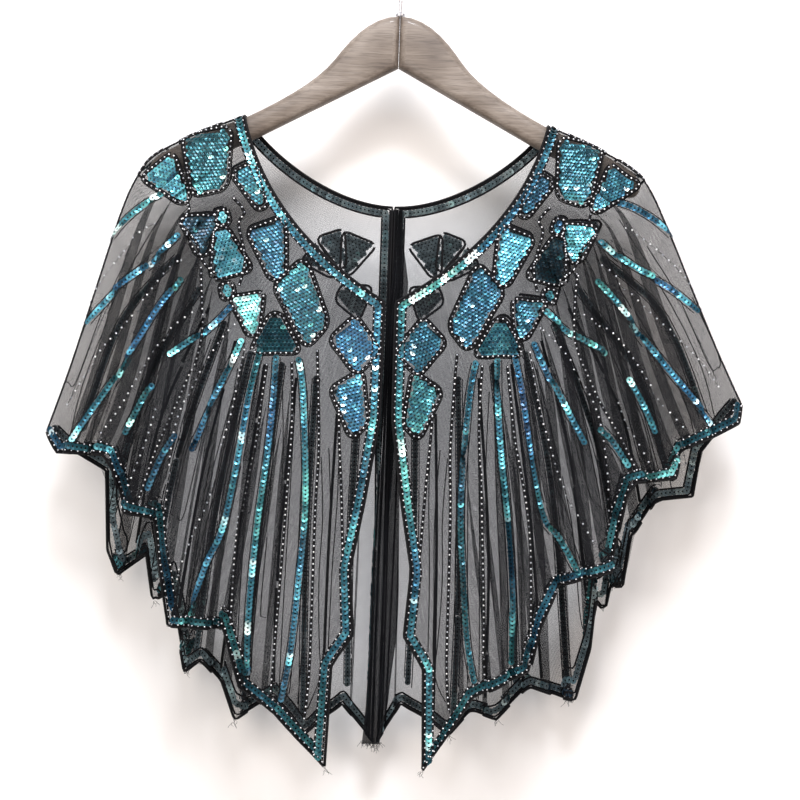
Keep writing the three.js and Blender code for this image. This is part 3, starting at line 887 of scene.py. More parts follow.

# %% [markdown]
# ## Petals
# The ornament is a fan of petals round the neck, as on many a beaded shawl of the jazz age. A petal is
# a four-cornered form with its corners rounded off: one width at its root, one at its tip, and a slant
# where its ends aren't square to it. Rows of sequins fill it, and a beaded rope runs round it, on the
# fronts with a plain cord beyond. The back has the same petals, without that cord and a little further
# out, and a small fan of leaves on each side of its seam.

# %% Petals
# Root (out, drop), tip (out, drop), width at the root, width at the tip, slant, shade left and right; the
# two shades differ as painted light and shade.
FRONT_PETALS = [
    (150, 100, 146, 146, 36, 25, 5, 0.42, 0.48),
    (188, 128, 165, 154, 29, 6, 0, 0.66, 0.58),
    (120, 128, 104, 157, 17, 6, 0, 0.55, 0.36),
    (100, 172, 89, 212, 29, 10, 3, 0.46, 0.7),
    (153, 168, 149, 196, 26, 8, 0, 0.2, 0.68),
    (126, 211, 136, 176, 30, 7, 0, 0.8, 0.16),
    (113, 229, 107, 258, 24, 6, 0, 0.86, 0.5),
    (89, 271, 90, 243, 35, 6, 0, 0.4, 0.6),
    (80, 209, 57, 257, 29, 22, 10, 0.44, 0.48),
    (36, 252, 16, 277, 25, 24, 3, 0.54, 0.5),
    (32, 293, 21, 331, 25, 13, 8, 0.54, 0.58),
    (136, 163, 134, 171, 7, 7, 0, 0.8, 0.4),
    (130, 221, 128, 229, 7, 7, 0, 0.7, 0.7),
]
BACK_FAN_PETALS = [
    (27, 178, 37, 205, 26, 6, 0, 0.4, 0.4),
    (50, 175, 41, 200, 20, 6, 0, 0.4, 0.4),
    (66, 190, 46, 206, 18, 6, 0, 0.4, 0.4),
    (21, 229, 41, 222, 26, 12, 0, 0.4, 0.4),
]
# The petals of the back are those of the front, spread by a share from the middle of the fan.
BACK_SPREAD = 1.035
FAN_MIDDLE = np.array([0, 306, 0, 306])

# %% [markdown]
# ## Filling a petal
# A petal is drawn flat. Its sequins lie in staggered rows along it, like scales, and each asks the cloth
# for its own place and for a place a little ahead, which gives its direction. One end of a petal is
# painted brighter than the other, towards a chance side, and a few sequins carry a painted flash: painted
# highlights that stand for film facing the light.

# %% Filling a petal
# Sequins in a petal, in mm: their size, the rows' distance, the step in a row, how far ahead a direction
# is read, and the free margins at the ends of the petal and at its edge. Then how far out the rope and
# the cord run round it.
PETAL_SEQUIN = 4.5
SEQUIN_ROW = 2.7
SEQUIN_STEP = 3.1
SEQUIN_AHEAD = 0.8
END_MARGIN = 1.2
EDGE_MARGIN = 1.1
ROPE_OUT = 1.9
CORD_OUT = 3.6
LOOP_POINTS = 80
CORNER_SPREAD = 3

# All sequins of a petal are PETAL_DARKER than its row says. As painted light, one gains LIT_GAIN for each
# LIT_REACH mm towards a chance side, from LIT_START of them, and a few gain FLASH_GAIN as painted flashes.
PETAL_DARKER = 0.1
LIT_REACH = 14
LIT_START = 0.6
LIT_GAIN = 0.15
FLASH_SHARE = 0.02
FLASH_GAIN = 0.45


def petal_loop(root, tip, root_width, tip_width, slant):
    """A petal's closed outline, its axis and its sideways direction. The outline is the four-cornered
    form, evened out along its length to round the corners."""
    axis = unit(tip - root)
    side = np.array([-axis[1], axis[0]])
    corners = np.array([
        root + side * root_width / 2 - axis * slant / 2,
        root - side * root_width / 2 + axis * slant / 2,
        tip - side * tip_width / 2 + axis * slant / 2,
        tip + side * tip_width / 2 - axis * slant / 2,
    ])
    loop = along(np.vstack([corners, corners[:1]]), np.arange(LOOP_POINTS) / LOOP_POINTS)
    shifts = range(-CORNER_SPREAD, CORNER_SPREAD + 1)
    return np.mean([np.roll(loop, shift, axis=0) for shift in shifts], axis=0), axis, side


def grown_loop(loop, distance):
    """A closed outline moved outwards by a distance and closed by its first point, and which way is
    outwards at each point."""
    run = unit(np.roll(loop, -1, axis=0) - np.roll(loop, 1, axis=0))
    outward = np.stack([run[:, 1], -run[:, 0]], axis=1)
    outward *= np.sign(np.sum(outward * (loop - loop.mean(axis=0)), axis=1).sum())
    moved = loop + outward * distance
    return np.vstack([moved, moved[:1]]), outward


def petal_spots(loop, axis, side):
    """Where sequins lie: staggered rows from end to end, kept inside every edge by a margin."""
    reach = (loop - loop.mean(axis=0)) @ axis
    count = max(2, round((np.ptp(reach) - 2 * END_MARGIN) / SEQUIN_ROW) + 1)
    lengthways = np.linspace(reach.min() + END_MARGIN, reach.max() - END_MARGIN, count)
    rows, places = np.meshgrid(lengthways, np.arange(-40, 40, SEQUIN_STEP), indexing="ij")
    places = places + (np.arange(count) % 2)[:, None] * SEQUIN_STEP / 2
    spots = loop.mean(axis=0) + rows.reshape(-1, 1) * axis + places.reshape(-1, 1) * side
    _, outward = grown_loop(loop, 0)
    inside = np.min(np.sum((loop[None] - spots[:, None]) * outward[None], axis=2), axis=1)
    return spots[inside > EDGE_MARGIN]


def add_petal(panels, row):
    """One petal on each panel: rows of sequins in a beaded rope, and on the fronts a cord round it."""
    numbers = np.array(row, float)
    loop, axis, side = petal_loop(numbers[0:2], numbers[2:4], *numbers[4:7])
    spots = petal_spots(loop, axis, side)
    shares, ahead_shares = panels[0].find(spots), panels[0].find(spots + axis * SEQUIN_AHEAD)
    for panel in panels:
        place, facing = on_cloth(panel, panel.on_top(*shares), shares[1], SEQUIN_LIFT)
        ahead, _ = on_cloth(panel, panel.on_top(*ahead_shares), ahead_shares[1], SEQUIN_LIFT)
        # Painted light: a shade for each side from the row, brighter towards a chance side, and painted flashes.
        turn = rng.uniform(0, 2 * np.pi)
        lit = (spots - loop.mean(axis=0)) @ [np.cos(turn), np.sin(turn)] / LIT_REACH
        shade = row[7 if panel.side_sign < 0 else 8] - PETAL_DARKER
        shades = shade + LIT_GAIN * np.maximum(0, lit - LIT_START)
        shades = shades + rng.normal(0, 0.05, len(spots))
        shades = shades + (rng.random(len(spots)) < FLASH_SHARE) * FLASH_GAIN
        hue = SEQUIN_HUE + 0.25 * rng.normal() + 0.1 * rng.normal(0, 1, len(spots))
        sewn = sequins[f"sequins_petals_{panel.word}"]
        sewn.put(place, unit(ahead - place), facing, PETAL_SEQUIN, shades, hue)
    rope_line("petals", panels, grown_loop(loop, ROPE_OUT)[0], radius=1.1, pitch=4.2)
    if panels[0].front:
        cord_line(panels, grown_loop(loop, CORD_OUT)[0], radius=0.6)


FRONTS = [PANELS["front_left"], PANELS["front_right"]]
BACKS = [PANELS["back_left"], PANELS["back_right"]]
for row in FRONT_PETALS:
    add_petal(FRONTS, row)
    places = (np.array(row[:4]) - FAN_MIDDLE) * BACK_SPREAD + FAN_MIDDLE
    add_petal(BACKS, (*places, *row[4:]))
for row in BACK_FAN_PETALS:
    add_petal(BACKS, row)
print_sewn("petals")

# %% [markdown]
# ## The fan of lines
# Below the petals the lines spread like rays to the hem, in four kinds: chains of sequins between two
# thin cords, thick cords with beads on them, rows of widely spaced beads, and single threads, some of
# which turn back in a long loop.

# %% The fan of lines
CHAIN_CORD_OUT = 3.1

# The kind of line, and the flat points (out, drop) that it runs through, from the centre outwards.
FRONT_FAN = [
    ("rope", [(38, 308), (36, 342), (33, 380), (30, 432)]),
    ("thread", [(36, 336), (36, 388), (38, 440), (39, 506)]),
    ("thread", [(44, 345), (41, 400), (42, 460), (44, 520), (54, 552)]),
    ("thread", [(63, 300), (58, 380), (58, 470), (61, 548)]),
    ("thread", [(96, 290), (104, 380), (108, 450), (109, 512)]),
    ("thread", [(118, 284), (128, 360), (141, 420), (152, 476)]),
    ("thread", [(140, 262), (158, 320), (172, 380), (176, 400)]),
    ("thread", [(158, 232), (178, 290), (196, 340), (204, 392)]),
    ("thread", [(172, 200), (200, 262), (224, 320), (232, 352)]),
    ("thread", [(182, 165), (214, 230), (240, 300), (250, 350)]),
    ("thread", [(50, 352), (47, 400), (48, 450), (45, 512), (40, 521), (36, 514)]),
    ("rope", [(56, 268), (52, 342), (53, 400), (53, 514), (56, 560)]),
    ("sequins", [(71, 276), (66, 306), (61, 389), (64, 453), (68, 507), (74, 545)]),
    ("rope", [(76, 278), (74, 333), (76, 389), (78, 443), (82, 540)]),
    ("thread", [(82, 300), (80, 380), (86, 470), (90, 480), (93, 470), (88, 380), (86, 310)]),
    ("sequins", [(88, 275), (89, 313), (92, 358), (97, 409), (101, 470), (102, 526)]),
    ("rope", [(95, 280), (98, 308), (101, 341), (109, 391), (113, 431), (115, 488)]),
    ("sequins", [(101, 270), (108, 306), (115, 362), (124, 412), (135, 439), (148, 482)]),
    ("beads", [(113, 268), (120, 319), (127, 348), (135, 382), (147, 416), (160, 455)]),
    ("sequins", [(116, 263), (129, 294), (143, 328), (153, 352)]),
    ("thread", [(126, 262), (140, 320), (156, 400), (162, 404), (164, 396), (150, 320)]),
    ("beads", [(120, 249), (136, 269), (150, 294), (163, 328), (169, 369), (172, 409)]),
    ("sequins", [(125, 237), (143, 256), (171, 278)]),
    ("sequins", [(164, 340), (174, 358), (184, 384)]),
    ("rope", [(150, 206), (148, 262), (160, 306), (178, 352), (190, 392)]),
    ("beads", [(152, 242), (175, 262), (193, 292), (209, 322), (226, 347)]),
    ("sequins", [(186, 302), (204, 341)]),
    ("beads", [(179, 318), (187, 348), (200, 384)]),
    ("sequins", [(165, 216), (184, 245), (214, 297), (237, 333), (246, 348)]),
    ("beads", [(189, 229), (210, 258), (223, 273), (240, 297), (254, 322)]),
    ("sequins", [(168, 182), (190, 205), (217, 228), (240, 254)]),
    ("beads", [(166, 202), (175, 210), (189, 229)]),
    ("beads", [(185, 173), (197, 180), (212, 196), (231, 223), (246, 254)]),
    ("sequins", [(183, 150), (197, 158), (211, 170), (224, 186)]),
    ("rope", [(164, 153), (161, 163), (167, 175), (156, 186), (148, 204), (137, 213)]),
    ("rope", [(128, 150), (118, 162), (122, 172), (116, 200), (120, 222)]),
    ("thread", [(204, 190), (226, 240), (246, 300), (252, 302), (254, 294), (236, 240)]),
]
BACK_FAN = [
    ("sequins", [(24, 330), (26, 430), (24, 540)]),
    ("rope", [(40, 318), (43, 430), (44, 560)]),
    ("sequins", [(58, 290), (62, 430), (60, 565)]),
    ("thread", [(66, 300), (70, 530), (75, 538), (79, 530), (74, 300)]),
    ("rope", [(74, 290), (84, 430), (84, 540)]),
    ("sequins", [(86, 280), (100, 420), (108, 555)]),
    ("rope", [(100, 280), (116, 410), (128, 532)]),
    ("sequins", [(112, 272), (134, 390), (148, 520)]),
    ("thread", [(118, 280), (146, 400), (156, 480), (161, 486), (164, 476), (152, 390)]),
    ("rope", [(124, 262), (148, 370), (164, 484)]),
    ("sequins", [(134, 248), (166, 350), (184, 460)]),
    ("rope", [(146, 236), (184, 330), (200, 432)]),
    ("thread", [(190, 340), (206, 430), (212, 434), (214, 424), (200, 340)]),
    ("sequins", [(154, 222), (196, 300), (220, 410)]),
    ("beads", [(164, 210), (210, 280), (234, 350)]),
    ("sequins", [(172, 196), (216, 250), (246, 340)]),
    ("beads", [(178, 180), (222, 228), (256, 318)]),
]


def add_line(panels, kind, points):
    """One line of the fan on each panel."""
    line = smooth_line(points)
    if kind == "sequins":
        sequin_line("rays", panels, line)
        for distance in (-CHAIN_CORD_OUT, CHAIN_CORD_OUT):
            cord_line(panels, beside(line, distance), radius=0.45)
    elif kind == "rope":
        rope_line("rays", panels, line)
    elif kind == "beads":
        cord_line(panels, line, radius=0.2, step=4)
        bead_line("rays", panels, line, pitch=6.2, size=1.8)
    else:
        cord_line(panels, line, radius=0.45)


for kind, points in FRONT_FAN:
    add_line(FRONTS, kind, points)
for kind, points in BACK_FAN:
    add_line(BACKS, kind, points)
print_sewn("fan of lines")

# %% [markdown]
# ## Sequins
# A sequin is a shallow eight-sided cup with a hole. Its flat facets catch the light one by one, which is
# where part of the sparkle comes from, so the facets are real and each sequin is tilted a little, by its
# neighbour and by chance. The rest is painted into each sequin's colour: a low shade is painted shade,
# and a high one a painted highlight, up to white. The film is bright on its face alone, and its wrong side
# is a dull grey with some of the film's colour and painted highlights mixed in: so the bands and petals
# of the back look, seen from inside through the neck opening.

# %% Sequins
# Film by shade: the middle is its tone, the dark end painted shade, the near-white end a painted highlight.
BLUE_FILM = [(0.0, "#081425"), (0.25, "#122d46"), (0.5, "#1f4c66"), (0.75, "#5aa6bf"), (1.0, "#eefcff")]
GREEN_FILM = [(0.0, "#0a1b1f"), (0.25, "#123a42"), (0.5, "#25585d"), (0.75, "#64b5ab"), (1.0, "#eefffa")]
WRONG_SIDE = "#a2b4b8"
WRONG_SIDE_PART, FILM_PART = 0.55, 0.45
THREAD = "#06090b"
CUP_SIDES = 8

# A sequin leans on its neighbour by TILT, in radians, more or less.
TILT = 0.14

# The rings of a sequin 1 across, in the order that sequin_cup names them. Each takes every corner of
# the eight (1) or every second one (2), at a radius and a height.
CUP_RINGS = [(1, 0.5, 0.05), (1, 0.15, 0.0), (1, 0.49, -0.03), (2, 0.22, -0.01), (2, 0.16, -0.04)]


def ring_of(sides):
    """The corners of a regular form of radius 1, their numbers, and the number after each."""
    number = np.arange(sides)
    turn = number * 2 * np.pi / sides
    return np.stack([np.cos(turn), np.sin(turn)], axis=1), number, (number + 1) % sides


def sequin_cup():
    """A sequin 1 across: rim, edge of the hole, an eight-sided underside a little below them, and two
    squares of thread, one in the hole and one under it."""
    corners, here, after = ring_of(CUP_SIDES)
    rings = []
    for every, radius, height in CUP_RINGS:
        ring = corners[::every] * radius
        rings.append(np.column_stack([ring, np.full(len(ring), height)]))
    face = np.stack([here, after, after + CUP_SIDES, here + CUP_SIDES], axis=1)
    wrong = np.array([(0, 3, 2, 1), (0, 7, 4, 3), (4, 7, 6, 5)]) + 2 * CUP_SIDES
    knots = np.array([(0, 1, 2, 3), (7, 6, 5, 4)]) + 3 * CUP_SIDES
    return np.vstack(rings), np.vstack([face, wrong, knots])


def copies(template, faces, place, direction, facing, size):
    """Copies of a template in the frames (direction, facing x direction, facing) at each place."""
    beside_it = unit(np.cross(facing, direction))
    upright = unit(np.cross(direction, beside_it))
    frames = np.stack([unit(direction), beside_it, upright], axis=1)
    points = np.einsum("nij,mi->nmj", frames, template) * size[:, None, None] + place[:, None, :]
    numbers = faces[None, :, :] + (np.arange(len(place)) * len(template))[:, None, None]
    return points.reshape(-1, 3), numbers.reshape(-1, faces.shape[1])


def tinted(values, stops):
    """Linear colours read from a table of (value, hex colour)."""
    colours = np.array([colour(code) for _, code in stops])
    return read_at(values, [value for value, _ in stops], colours)


def sequin_material():
    """Metallic film, with a clear coat for its gloss. The colour is each sequin's tint: the film's tone, with
    painted shade and painted highlights.
    """
    material, tree = new_material("turquoise_sequin_film")
    own = add(tree, "ShaderNodeVertexColor", layer_name="tint").outputs["Color"]
    finish_material(
        tree, Base_Color=own, Metallic=0.8, Roughness=0.3, Coat_Weight=0.15, Coat_Roughness=0.06,
    )
    return material


sequin_film = sequin_material()
cup_points, cup_faces = sequin_cup()
for name, sewn in sequins.items():
    place, direction, facing, size, shade, hue = sewn.arrays()
    count = len(place)
    across = unit(np.cross(facing, direction))
    unevenness = 0.05 if "petals" in name else 0.09
    tilt = TILT + rng.normal(0, unevenness, (count, 1))
    sway = rng.normal(0, unevenness, (count, 1))
    facing = unit(facing - direction * tilt + across * sway)
    direction = unit(np.cross(across, facing))
    points, faces = copies(cup_points, cup_faces, place, direction, facing, size)
    shade, hue = np.clip(shade + rng.normal(0, 0.04, count), 0, 1), np.clip(hue, 0, 1)[:, None]
    # The film colour follows each sequin's shade, painted shade and painted highlights included.
    film = tinted(shade, BLUE_FILM) * (1 - hue) + tinted(shade, GREEN_FILM) * hue
    film = film[:, None, :]
    tint = np.repeat(film, len(cup_points), axis=1)
    # The wrong side: grey with FILM_PART of the film colour, painted highlights included, uneven at random.
    uneven = rng.uniform(0.6, 1.3, (count, 1, 1))
    grey = np.array(colour(WRONG_SIDE)) * WRONG_SIDE_PART + film * FILM_PART
    tint[:, 2 * CUP_SIDES:3 * CUP_SIDES] = grey * uneven
    tint[:, 3 * CUP_SIDES:] = colour(THREAD)
    made = mesh_object(name, points, faces, sequin_film, tint=tint.reshape(-1, 4), smooth=False)
    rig.ride(made, "root")
    print(f"{name}: {count} sequins")

# %% [markdown]
# ## Beads
# Seed beads are round glass lined with silver. They are 1.4 to 1.8 mm across, so that twenty faces with
# smooth shading are enough. Some of them are darker than others, at random.

# %% Beads
BEAD_TINTS = [(0.0, "#5d5f66"), (0.5, "#c2c6cd"), (1.0, "#ffffff")]
BEAD_UNEVENNESS = 0.25


def icosahedron():
    """The twelve corners and twenty faces of a ball 1 across."""
    g = (1 + math.sqrt(5)) / 2
    corners = [
        (-1, g, 0), (1, g, 0), (-1, -g, 0), (1, -g, 0), (0, -1, g), (0, 1, g),
        (0, -1, -g), (0, 1, -g), (g, 0, -1), (g, 0, 1), (-g, 0, -1), (-g, 0, 1),
    ]
    faces = [
        (0, 11, 5), (0, 5, 1), (0, 1, 7), (0, 7, 10), (0, 10, 11), (1, 5, 9), (5, 11, 4), (11, 10, 2),
        (10, 7, 6), (7, 1, 8), (3, 9, 4), (3, 4, 2), (3, 2, 6), (3, 6, 8), (3, 8, 9), (4, 9, 5),
        (2, 4, 11), (6, 2, 10), (8, 6, 7), (9, 8, 1),
    ]
    return unit(np.array(corners, float)) / 2, np.array(faces)


def bead_material():
    """Silver-lined glass."""
    material, tree = new_material("silver_lined_glass_bead")
    own = add(tree, "ShaderNodeVertexColor", layer_name="tint").outputs["Color"]
    finish_material(tree, Base_Color=own, Metallic=0.3, Roughness=0.16, Coat_Weight=0.8)
    return material


glass = bead_material()
ball_points, ball_faces = icosahedron()
for name, sewn in beads.items():
    place, direction, facing, size, shade, _ = sewn.arrays()
    shade = np.clip(shade + rng.normal(0, BEAD_UNEVENNESS, len(place)), 0, 1)
    points, faces = copies(ball_points, ball_faces, place, direction, facing, size)
    tint = np.repeat(tinted(shade, BEAD_TINTS), len(ball_points), axis=0)
    made = mesh_object(name, points, faces, glass, tint=tint)
    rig.ride(made, "root")
    print(f"{name}: {len(place)} beads")

# %% [markdown]
# ## Cords
# The thin black lines are viscose cord couched down with stitches. Each is a five-sided tube along its
# line, with a slanting bump for the twist. The same tube, thicker, is the overcast edge of the cloth,
# and hair-thin it is the ends of yarn that hang from the points of the hem.

# %% Cords
# A strand of the twist shows every STRAND mm along a cord. The radius of a loose yarn is in mm.
CORD_SIDES = 5
STRAND = 1.26
YARN_RADIUS = 0.13
YARN_POINTS = 5


def tube(place, direction, facing, radius):
    """A tube round a line: rings of r (cos(t) facing + sin(t) side) at each place, open at its ends."""
    side = unit(np.cross(facing, direction))
    up = unit(np.cross(direction, side))
    corners, here, after = ring_of(CORD_SIDES)
    ring = corners[None, :, :1] * up[:, None, :] + corners[None, :, 1:] * side[:, None, :]
    points = (place[:, None, :] + radius * ring).reshape(-1, 3)
    near = np.arange(len(place) - 1)[:, None] * CORD_SIDES
    far = near + CORD_SIDES
    faces = np.stack([near + here, near + after, far + after, far + here], axis=-1).reshape(-1, 4)
    uv = np.stack(np.meshgrid(here, reach_of(place)), axis=-1).reshape(-1, 2)
    return points, faces, uv


def yarn_ends(tip, count):
    """Loose ends of yarn below a point of the hem. Each falls 2 to 5.5 mm by a chance slope, and bows
    sideways by sin(pi t)."""
    t = np.linspace(0, 1, YARN_POINTS)[:, None]
    for _ in range(count):
        start = tip + rng.normal(0, 1.2, 3) * [1, 0.3, 0.6]
        run = np.array([rng.normal(0, 2.2), rng.normal(0, 0.6), -rng.uniform(2, 5.5)])
        place = start + run * t + np.array([rng.normal(0, 0.8), 0, 0]) * np.sin(np.pi * t)
        facing = np.tile([0.0, -1.0, 0.0], (YARN_POINTS, 1))
        yield place, np.tile(unit(run), (YARN_POINTS, 1)), facing, YARN_RADIUS


for panel in PANELS.values():
    drops = panel.hem[:, 1]
    lowest = [k for k in range(1, len(drops) - 1) if drops[k] > drops[k - 1] and drops[k] > drops[k + 1]]
    for tip in panel.cloth(*panel.find(panel.hem[[0] + lowest])):
        cords[f"cords_{panel.word}"].extend(yarn_ends(tip, 5))
for tip in seam_strip_points()[-1, ::5]:
    cords["cords_back"].extend(yarn_ends(tip + [0, 0, 2], 4))


def cord_material():
    """Twisted viscose: black with a soft lustre, and slanting strands as bump. A diagonal wave repeats
    every 2 pi / (10 scale) along the map."""
    material, tree = new_material("black_viscose_cord")
    map_mm = add(tree, "ShaderNodeUVMap", uv_map="cloth_mm").outputs[0]
    wave = {"Vector": map_mm, "Scale": 2 * math.pi / (10 * STRAND), "Distortion": 1.0}
    strands = add(tree, "ShaderNodeTexWave", wave, bands_direction="DIAGONAL").outputs["Fac"]
    twist = add(tree, "ShaderNodeBump", {"Strength": 0.6, "Distance": 0.0003, "Height": strands}).outputs[0]
    shade = ramp(tree, strands, [(0.0, "#050506"), (1.0, "#131316")])
    finish_material(tree, Base_Color=shade, Roughness=0.5, Normal=twist, Specular_IOR_Level=0.15)
    return material


viscose = cord_material()
for name, lines in cords.items():
    tubes = [tube(*line) for line in lines]
    first = np.cumsum([0] + [len(points) for points, _, _ in tubes])
    points = np.vstack([points for points, _, _ in tubes])
    faces = np.vstack([faces + start for (_, faces, _), start in zip(tubes, first)])
    uv = np.vstack([uv for _, _, uv in tubes])
    made = mesh_object(name, points, faces, viscose, uv=uv)
    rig.ride(made, "root")
    print(f"{name}: {len(lines)} cords, {len(faces)} faces")

# %% [markdown]
# ## The hanger
# The hanger and hook keep their solids. A node modifier rounds their shading, and the wood is stained
# grey-brown: fine streaks run along each arm, so the texture's long axis follows the arm's slope.

# %% The hanger
ARM_SLOPE = math.radians(27)
SHARP_EDGE = math.radians(40)

# How wide a streak, a pore and a patch of stain in the wood are, and a mark on the wire, in mm. The
# pores are drawn coarser than in real wood, so that they show.
STREAK, PORE, STAIN, WIRE_MARK = 3.85, 0.714, 45.5, 1.11
STREAK_SQUEEZE = 0.05


def noise(tree, place, size, **settings):
    """The tone of a noise texture whose patches are about a size in mm across, on coordinates in metres."""
    inputs = {"Vector": place, "Scale": 1 / (size * MM), **settings}
    return add(tree, "ShaderNodeTexNoise", inputs).outputs[0]


def smooth_group():
    """A node group that shades smooth all but the edges sharper than SHARP_EDGE."""
    group = bpy.data.node_groups.new("rounded_shading", "GeometryNodeTree")
    for way in ("INPUT", "OUTPUT"):
        group.interface.new_socket("Geometry", in_out=way, socket_type="NodeSocketGeometry")
    shape = add(group, "NodeGroupInput").outputs[0]
    shape = add(group, "GeometryNodeMergeByDistance", {"Geometry": shape, "Distance": 1e-6}).outputs[0]
    angle = add(group, "GeometryNodeInputMeshEdgeAngle").outputs["Unsigned Angle"]
    soft = add(group, "FunctionNodeCompare", {0: angle, 1: SHARP_EDGE}, operation="LESS_THAN").outputs[0]
    for kind, where in (("FACE", True), ("EDGE", soft)):
        inputs = {"Geometry": shape, "Shade Smooth": where}
        shape = add(group, "GeometryNodeSetShadeSmooth", inputs, domain=kind).outputs[0]
    add(group, "NodeGroupOutput", {0: shape})
    return group


def wood_material():
    """Stained wood: streaks and pores stretched along the arm, by mirrored and tilted coordinates."""
    material, tree = new_material("grey_brown_stained_wood")
    place = add(tree, "ShaderNodeTexCoord").outputs["Object"]
    mirrored = vector_maths(tree, "MULTIPLY", vector_maths(tree, "ABSOLUTE", place), (1, 1, -1))
    tilted = add(
        tree, "ShaderNodeMapping",
        {"Vector": mirrored, "Rotation": (0, -ARM_SLOPE, 0), "Scale": (STREAK_SQUEEZE, 1.0, 1.0)},
    ).outputs[0]
    streaks = noise(tree, tilted, STREAK, Detail=6.0, Roughness=0.65)
    pores = noise(tree, tilted, PORE, Detail=2.0)
    stain = noise(tree, place, STAIN, Detail=2.0)
    mixed = maths(tree, "MULTIPLY_ADD", stain, 0.5, maths(tree, "MULTIPLY", streaks, 0.5))
    shade = ramp(tree, mixed, [(0.36, "#5c5047"), (0.5, "#776b60"), (0.64, "#90857b")])
    pore_shade = ramp(tree, pores, [(0.35, "#6b5c50"), (0.5, "#ffffff")])
    dark = add(
        tree, "ShaderNodeMix", {0: 0.35, 6: shade, 7: pore_shade}, data_type="RGBA", blend_type="MULTIPLY",
    )
    relief = add(tree, "ShaderNodeBump", {"Strength": 0.25, "Distance": 0.0003, "Height": pores}).outputs[0]
    gloss = maths(tree, "MULTIPLY_ADD", streaks, 0.25, 0.38)
    finish_material(tree, Base_Color=dark.outputs[2], Roughness=gloss, Normal=relief, Coat_Weight=0.15)
    return material


def steel_material():
    """Drawn wire: bright, with faint marks along it."""
    material, tree = new_material("bright_drawn_steel")
    place = add(tree, "ShaderNodeTexCoord").outputs["Object"]
    marks = noise(tree, place, WIRE_MARK, Detail=3.0)
    rough = maths(tree, "MULTIPLY_ADD", marks, 0.25, 0.14)
    shade = ramp(tree, marks, [(0.3, "#a9a9ad"), (0.7, "#d2d2d6")])
    finish_material(tree, Base_Color=shade, Metallic=1.0, Roughness=rough)
    return material


wood, steel, rounded = wood_material(), steel_material(), smooth_group()
for name, node_object in frame["nodes"].items():
    if name not in PANELS:
        for slot in node_object.material_slots:
            slot.material = wood if name.startswith("hanger") else steel
        node_object.modifiers.new("rounded_shading", "NODES").node_group = rounded
        print(f"{name}: {node_object.material_slots[0].material.name}")

# %% [markdown]
# ## The wall
# The garment hangs flat against a white wall. The wall is a single face that is white from the front
# only, so that the back of the garment can be looked at too.

# %% The wall
WALL_Y = 62
WALL_OUT, WALL_FOOT, WALL_TOP = 1600, -1800, 1000


def wall_material():
    """Matt white from the front, and nothing from behind."""
    material, tree = new_material("matt_white_wall")
    paint = add(tree, "ShaderNodeBsdfDiffuse", {"Color": colour("#fbf8f5")}).outputs[0]
    nothing = add(tree, "ShaderNodeBsdfTransparent").outputs[0]
    behind = add(tree, "ShaderNodeNewGeometry").outputs["Backfacing"]
    both = add(tree, "ShaderNodeMixShader", {0: behind, 1: paint, 2: nothing}).outputs[0]
    add(tree, "ShaderNodeOutputMaterial", {"Surface": both})
    return material


corners = [
    (-WALL_OUT, WALL_Y, WALL_FOOT), (WALL_OUT, WALL_Y, WALL_FOOT), (WALL_OUT, WALL_Y, WALL_TOP),
    (-WALL_OUT, WALL_Y, WALL_TOP),
]
wall = mesh_object("wall", corners, [(0, 1, 2, 3)], wall_material(), smooth=False)
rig.stage(wall)
print(f"wall: {WALL_Y} mm behind the hook")

# %% [markdown]
# ## Light
# A window, the room and a lamp light the garment softly from the front, and pale daylight comes from all
# round. A white room also throws light in behind a hanging garment, which a few lamps alone don't: a
# faint disk of light that faces the wall stands for it, so that one layer of net looks thinner than two.

# %% Light
def soft_light(name, place, aim, size, power, code):
    """A square light that faces a point. Place, aim and size are in mm, and power in watts."""
    data = bpy.data.lights.new(name, "AREA")
    data.size, data.energy, data.color = size * MM, power, colour(code)[:3]
    made = bpy.data.objects.new(name, data)
    bpy.context.scene.collection.objects.link(made)
    towards = np.array(aim, float) - np.array(place, float)
    made.location = [value * MM for value in place]
    flat_run = math.hypot(towards[0], towards[1])
    made.rotation_euler = (math.atan2(flat_run, -towards[2]), 0, math.atan2(-towards[0], towards[1]))
    return made


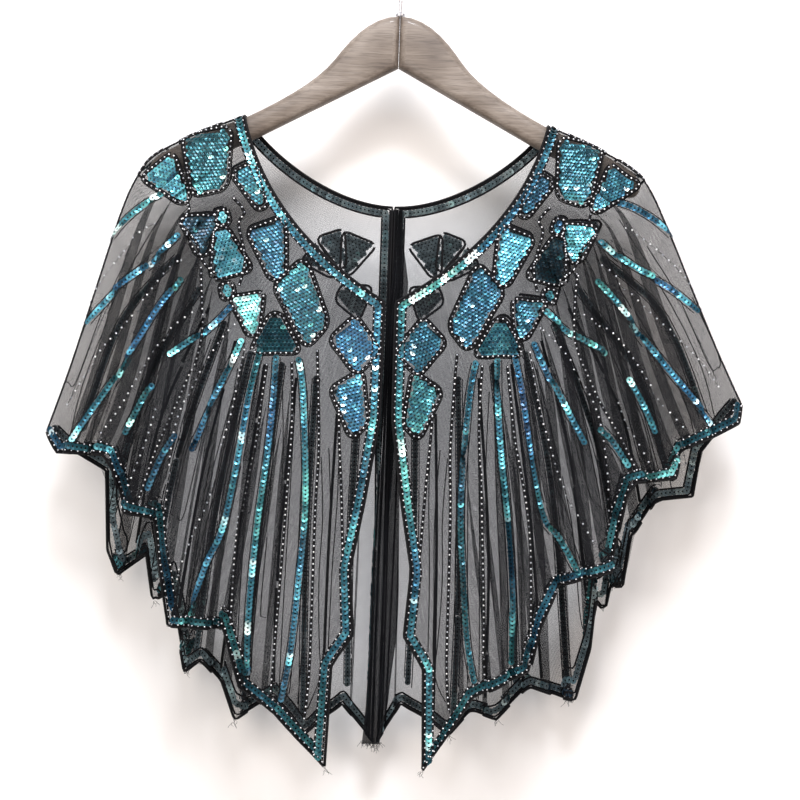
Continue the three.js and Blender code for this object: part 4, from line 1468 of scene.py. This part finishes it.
soft_light("window", (-900, -1700, 300), (0, 0, -350), 1300, 20, "#fff4ea")
soft_light("room", (1300, -1500, -100), (0, 0, -350), 900, 9, "#ffe9d8")
soft_light("lamp", (60, -1250, 1100), (0, 0, -350), 500, 34, "#f6f9ff")
bounce = soft_light("bounce", (0, WALL_Y - 24, -430), (0, WALL_Y, -430), 400, 0.26, "#f4f7ff")
bounce.data.shape = "DISK"
bounce.visible_camera = False
print("lights:", ", ".join(lamp.name for lamp in bpy.data.lights))

world = bpy.data.worlds.new("daylight")
bpy.context.scene.world = world
world.use_nodes = True
world.node_tree.nodes.clear()
sky = add(world.node_tree, "ShaderNodeTexCoord").outputs["Generated"]
height = add(world.node_tree, "ShaderNodeSeparateXYZ", {0: sky}).outputs[2]
level = maths(world.node_tree, "MULTIPLY_ADD", height, 0.5, 0.5)
tone = ramp(world.node_tree, level, [(0.2, "#8f8b86"), (0.75, "#f6f8ff")])
light = add(world.node_tree, "ShaderNodeBackground", {"Color": tone, "Strength": 0.95}).outputs[0]
add(world.node_tree, "ShaderNodeOutputWorld", {"Surface": light})

# %% [markdown]
# ## The camera
# The camera is level, a little below the hanger, and leans by two degrees, as it did for the photograph.
# Light passes through many layers of net, so it may go through 48 see-through faces.

# %% The camera
AIM = (10.5, 0, -372.4)
CAMERA_FAR = 1600
FRAME_WIDTH = 640
SENSOR = 36
LEAN = 2.0

camera_data = bpy.data.cameras.new("camera")
camera_data.sensor_width = SENSOR
camera_data.lens = SENSOR * CAMERA_FAR / FRAME_WIDTH
camera = bpy.data.objects.new("camera", camera_data)
bpy.context.scene.collection.objects.link(camera)
camera.location = (AIM[0] * MM, -CAMERA_FAR * MM, AIM[2] * MM)
camera.rotation_euler = (math.radians(90), math.radians(-LEAN), 0)
bpy.context.scene.camera = camera
bpy.context.scene.view_settings.view_transform = "Standard"
bpy.context.scene.cycles.transparent_max_bounces = 48
print(f"camera: a lens of {camera_data.lens:.0f} mm, {CAMERA_FAR} mm away")

# %% [markdown]
# ## The model's box
# The sheets state the size that they were cut to, and the last call writes the boxes of the CAD model
# and of the finished model to extents.json.

# %% The model's box
model_box = [[float(value) for value in corner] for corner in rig.bounds()]
print("model box in metres:", model_box)
with open("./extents.json", "w") as file:
    json.dump({"cad": cad_box, "model": model_box}, file)
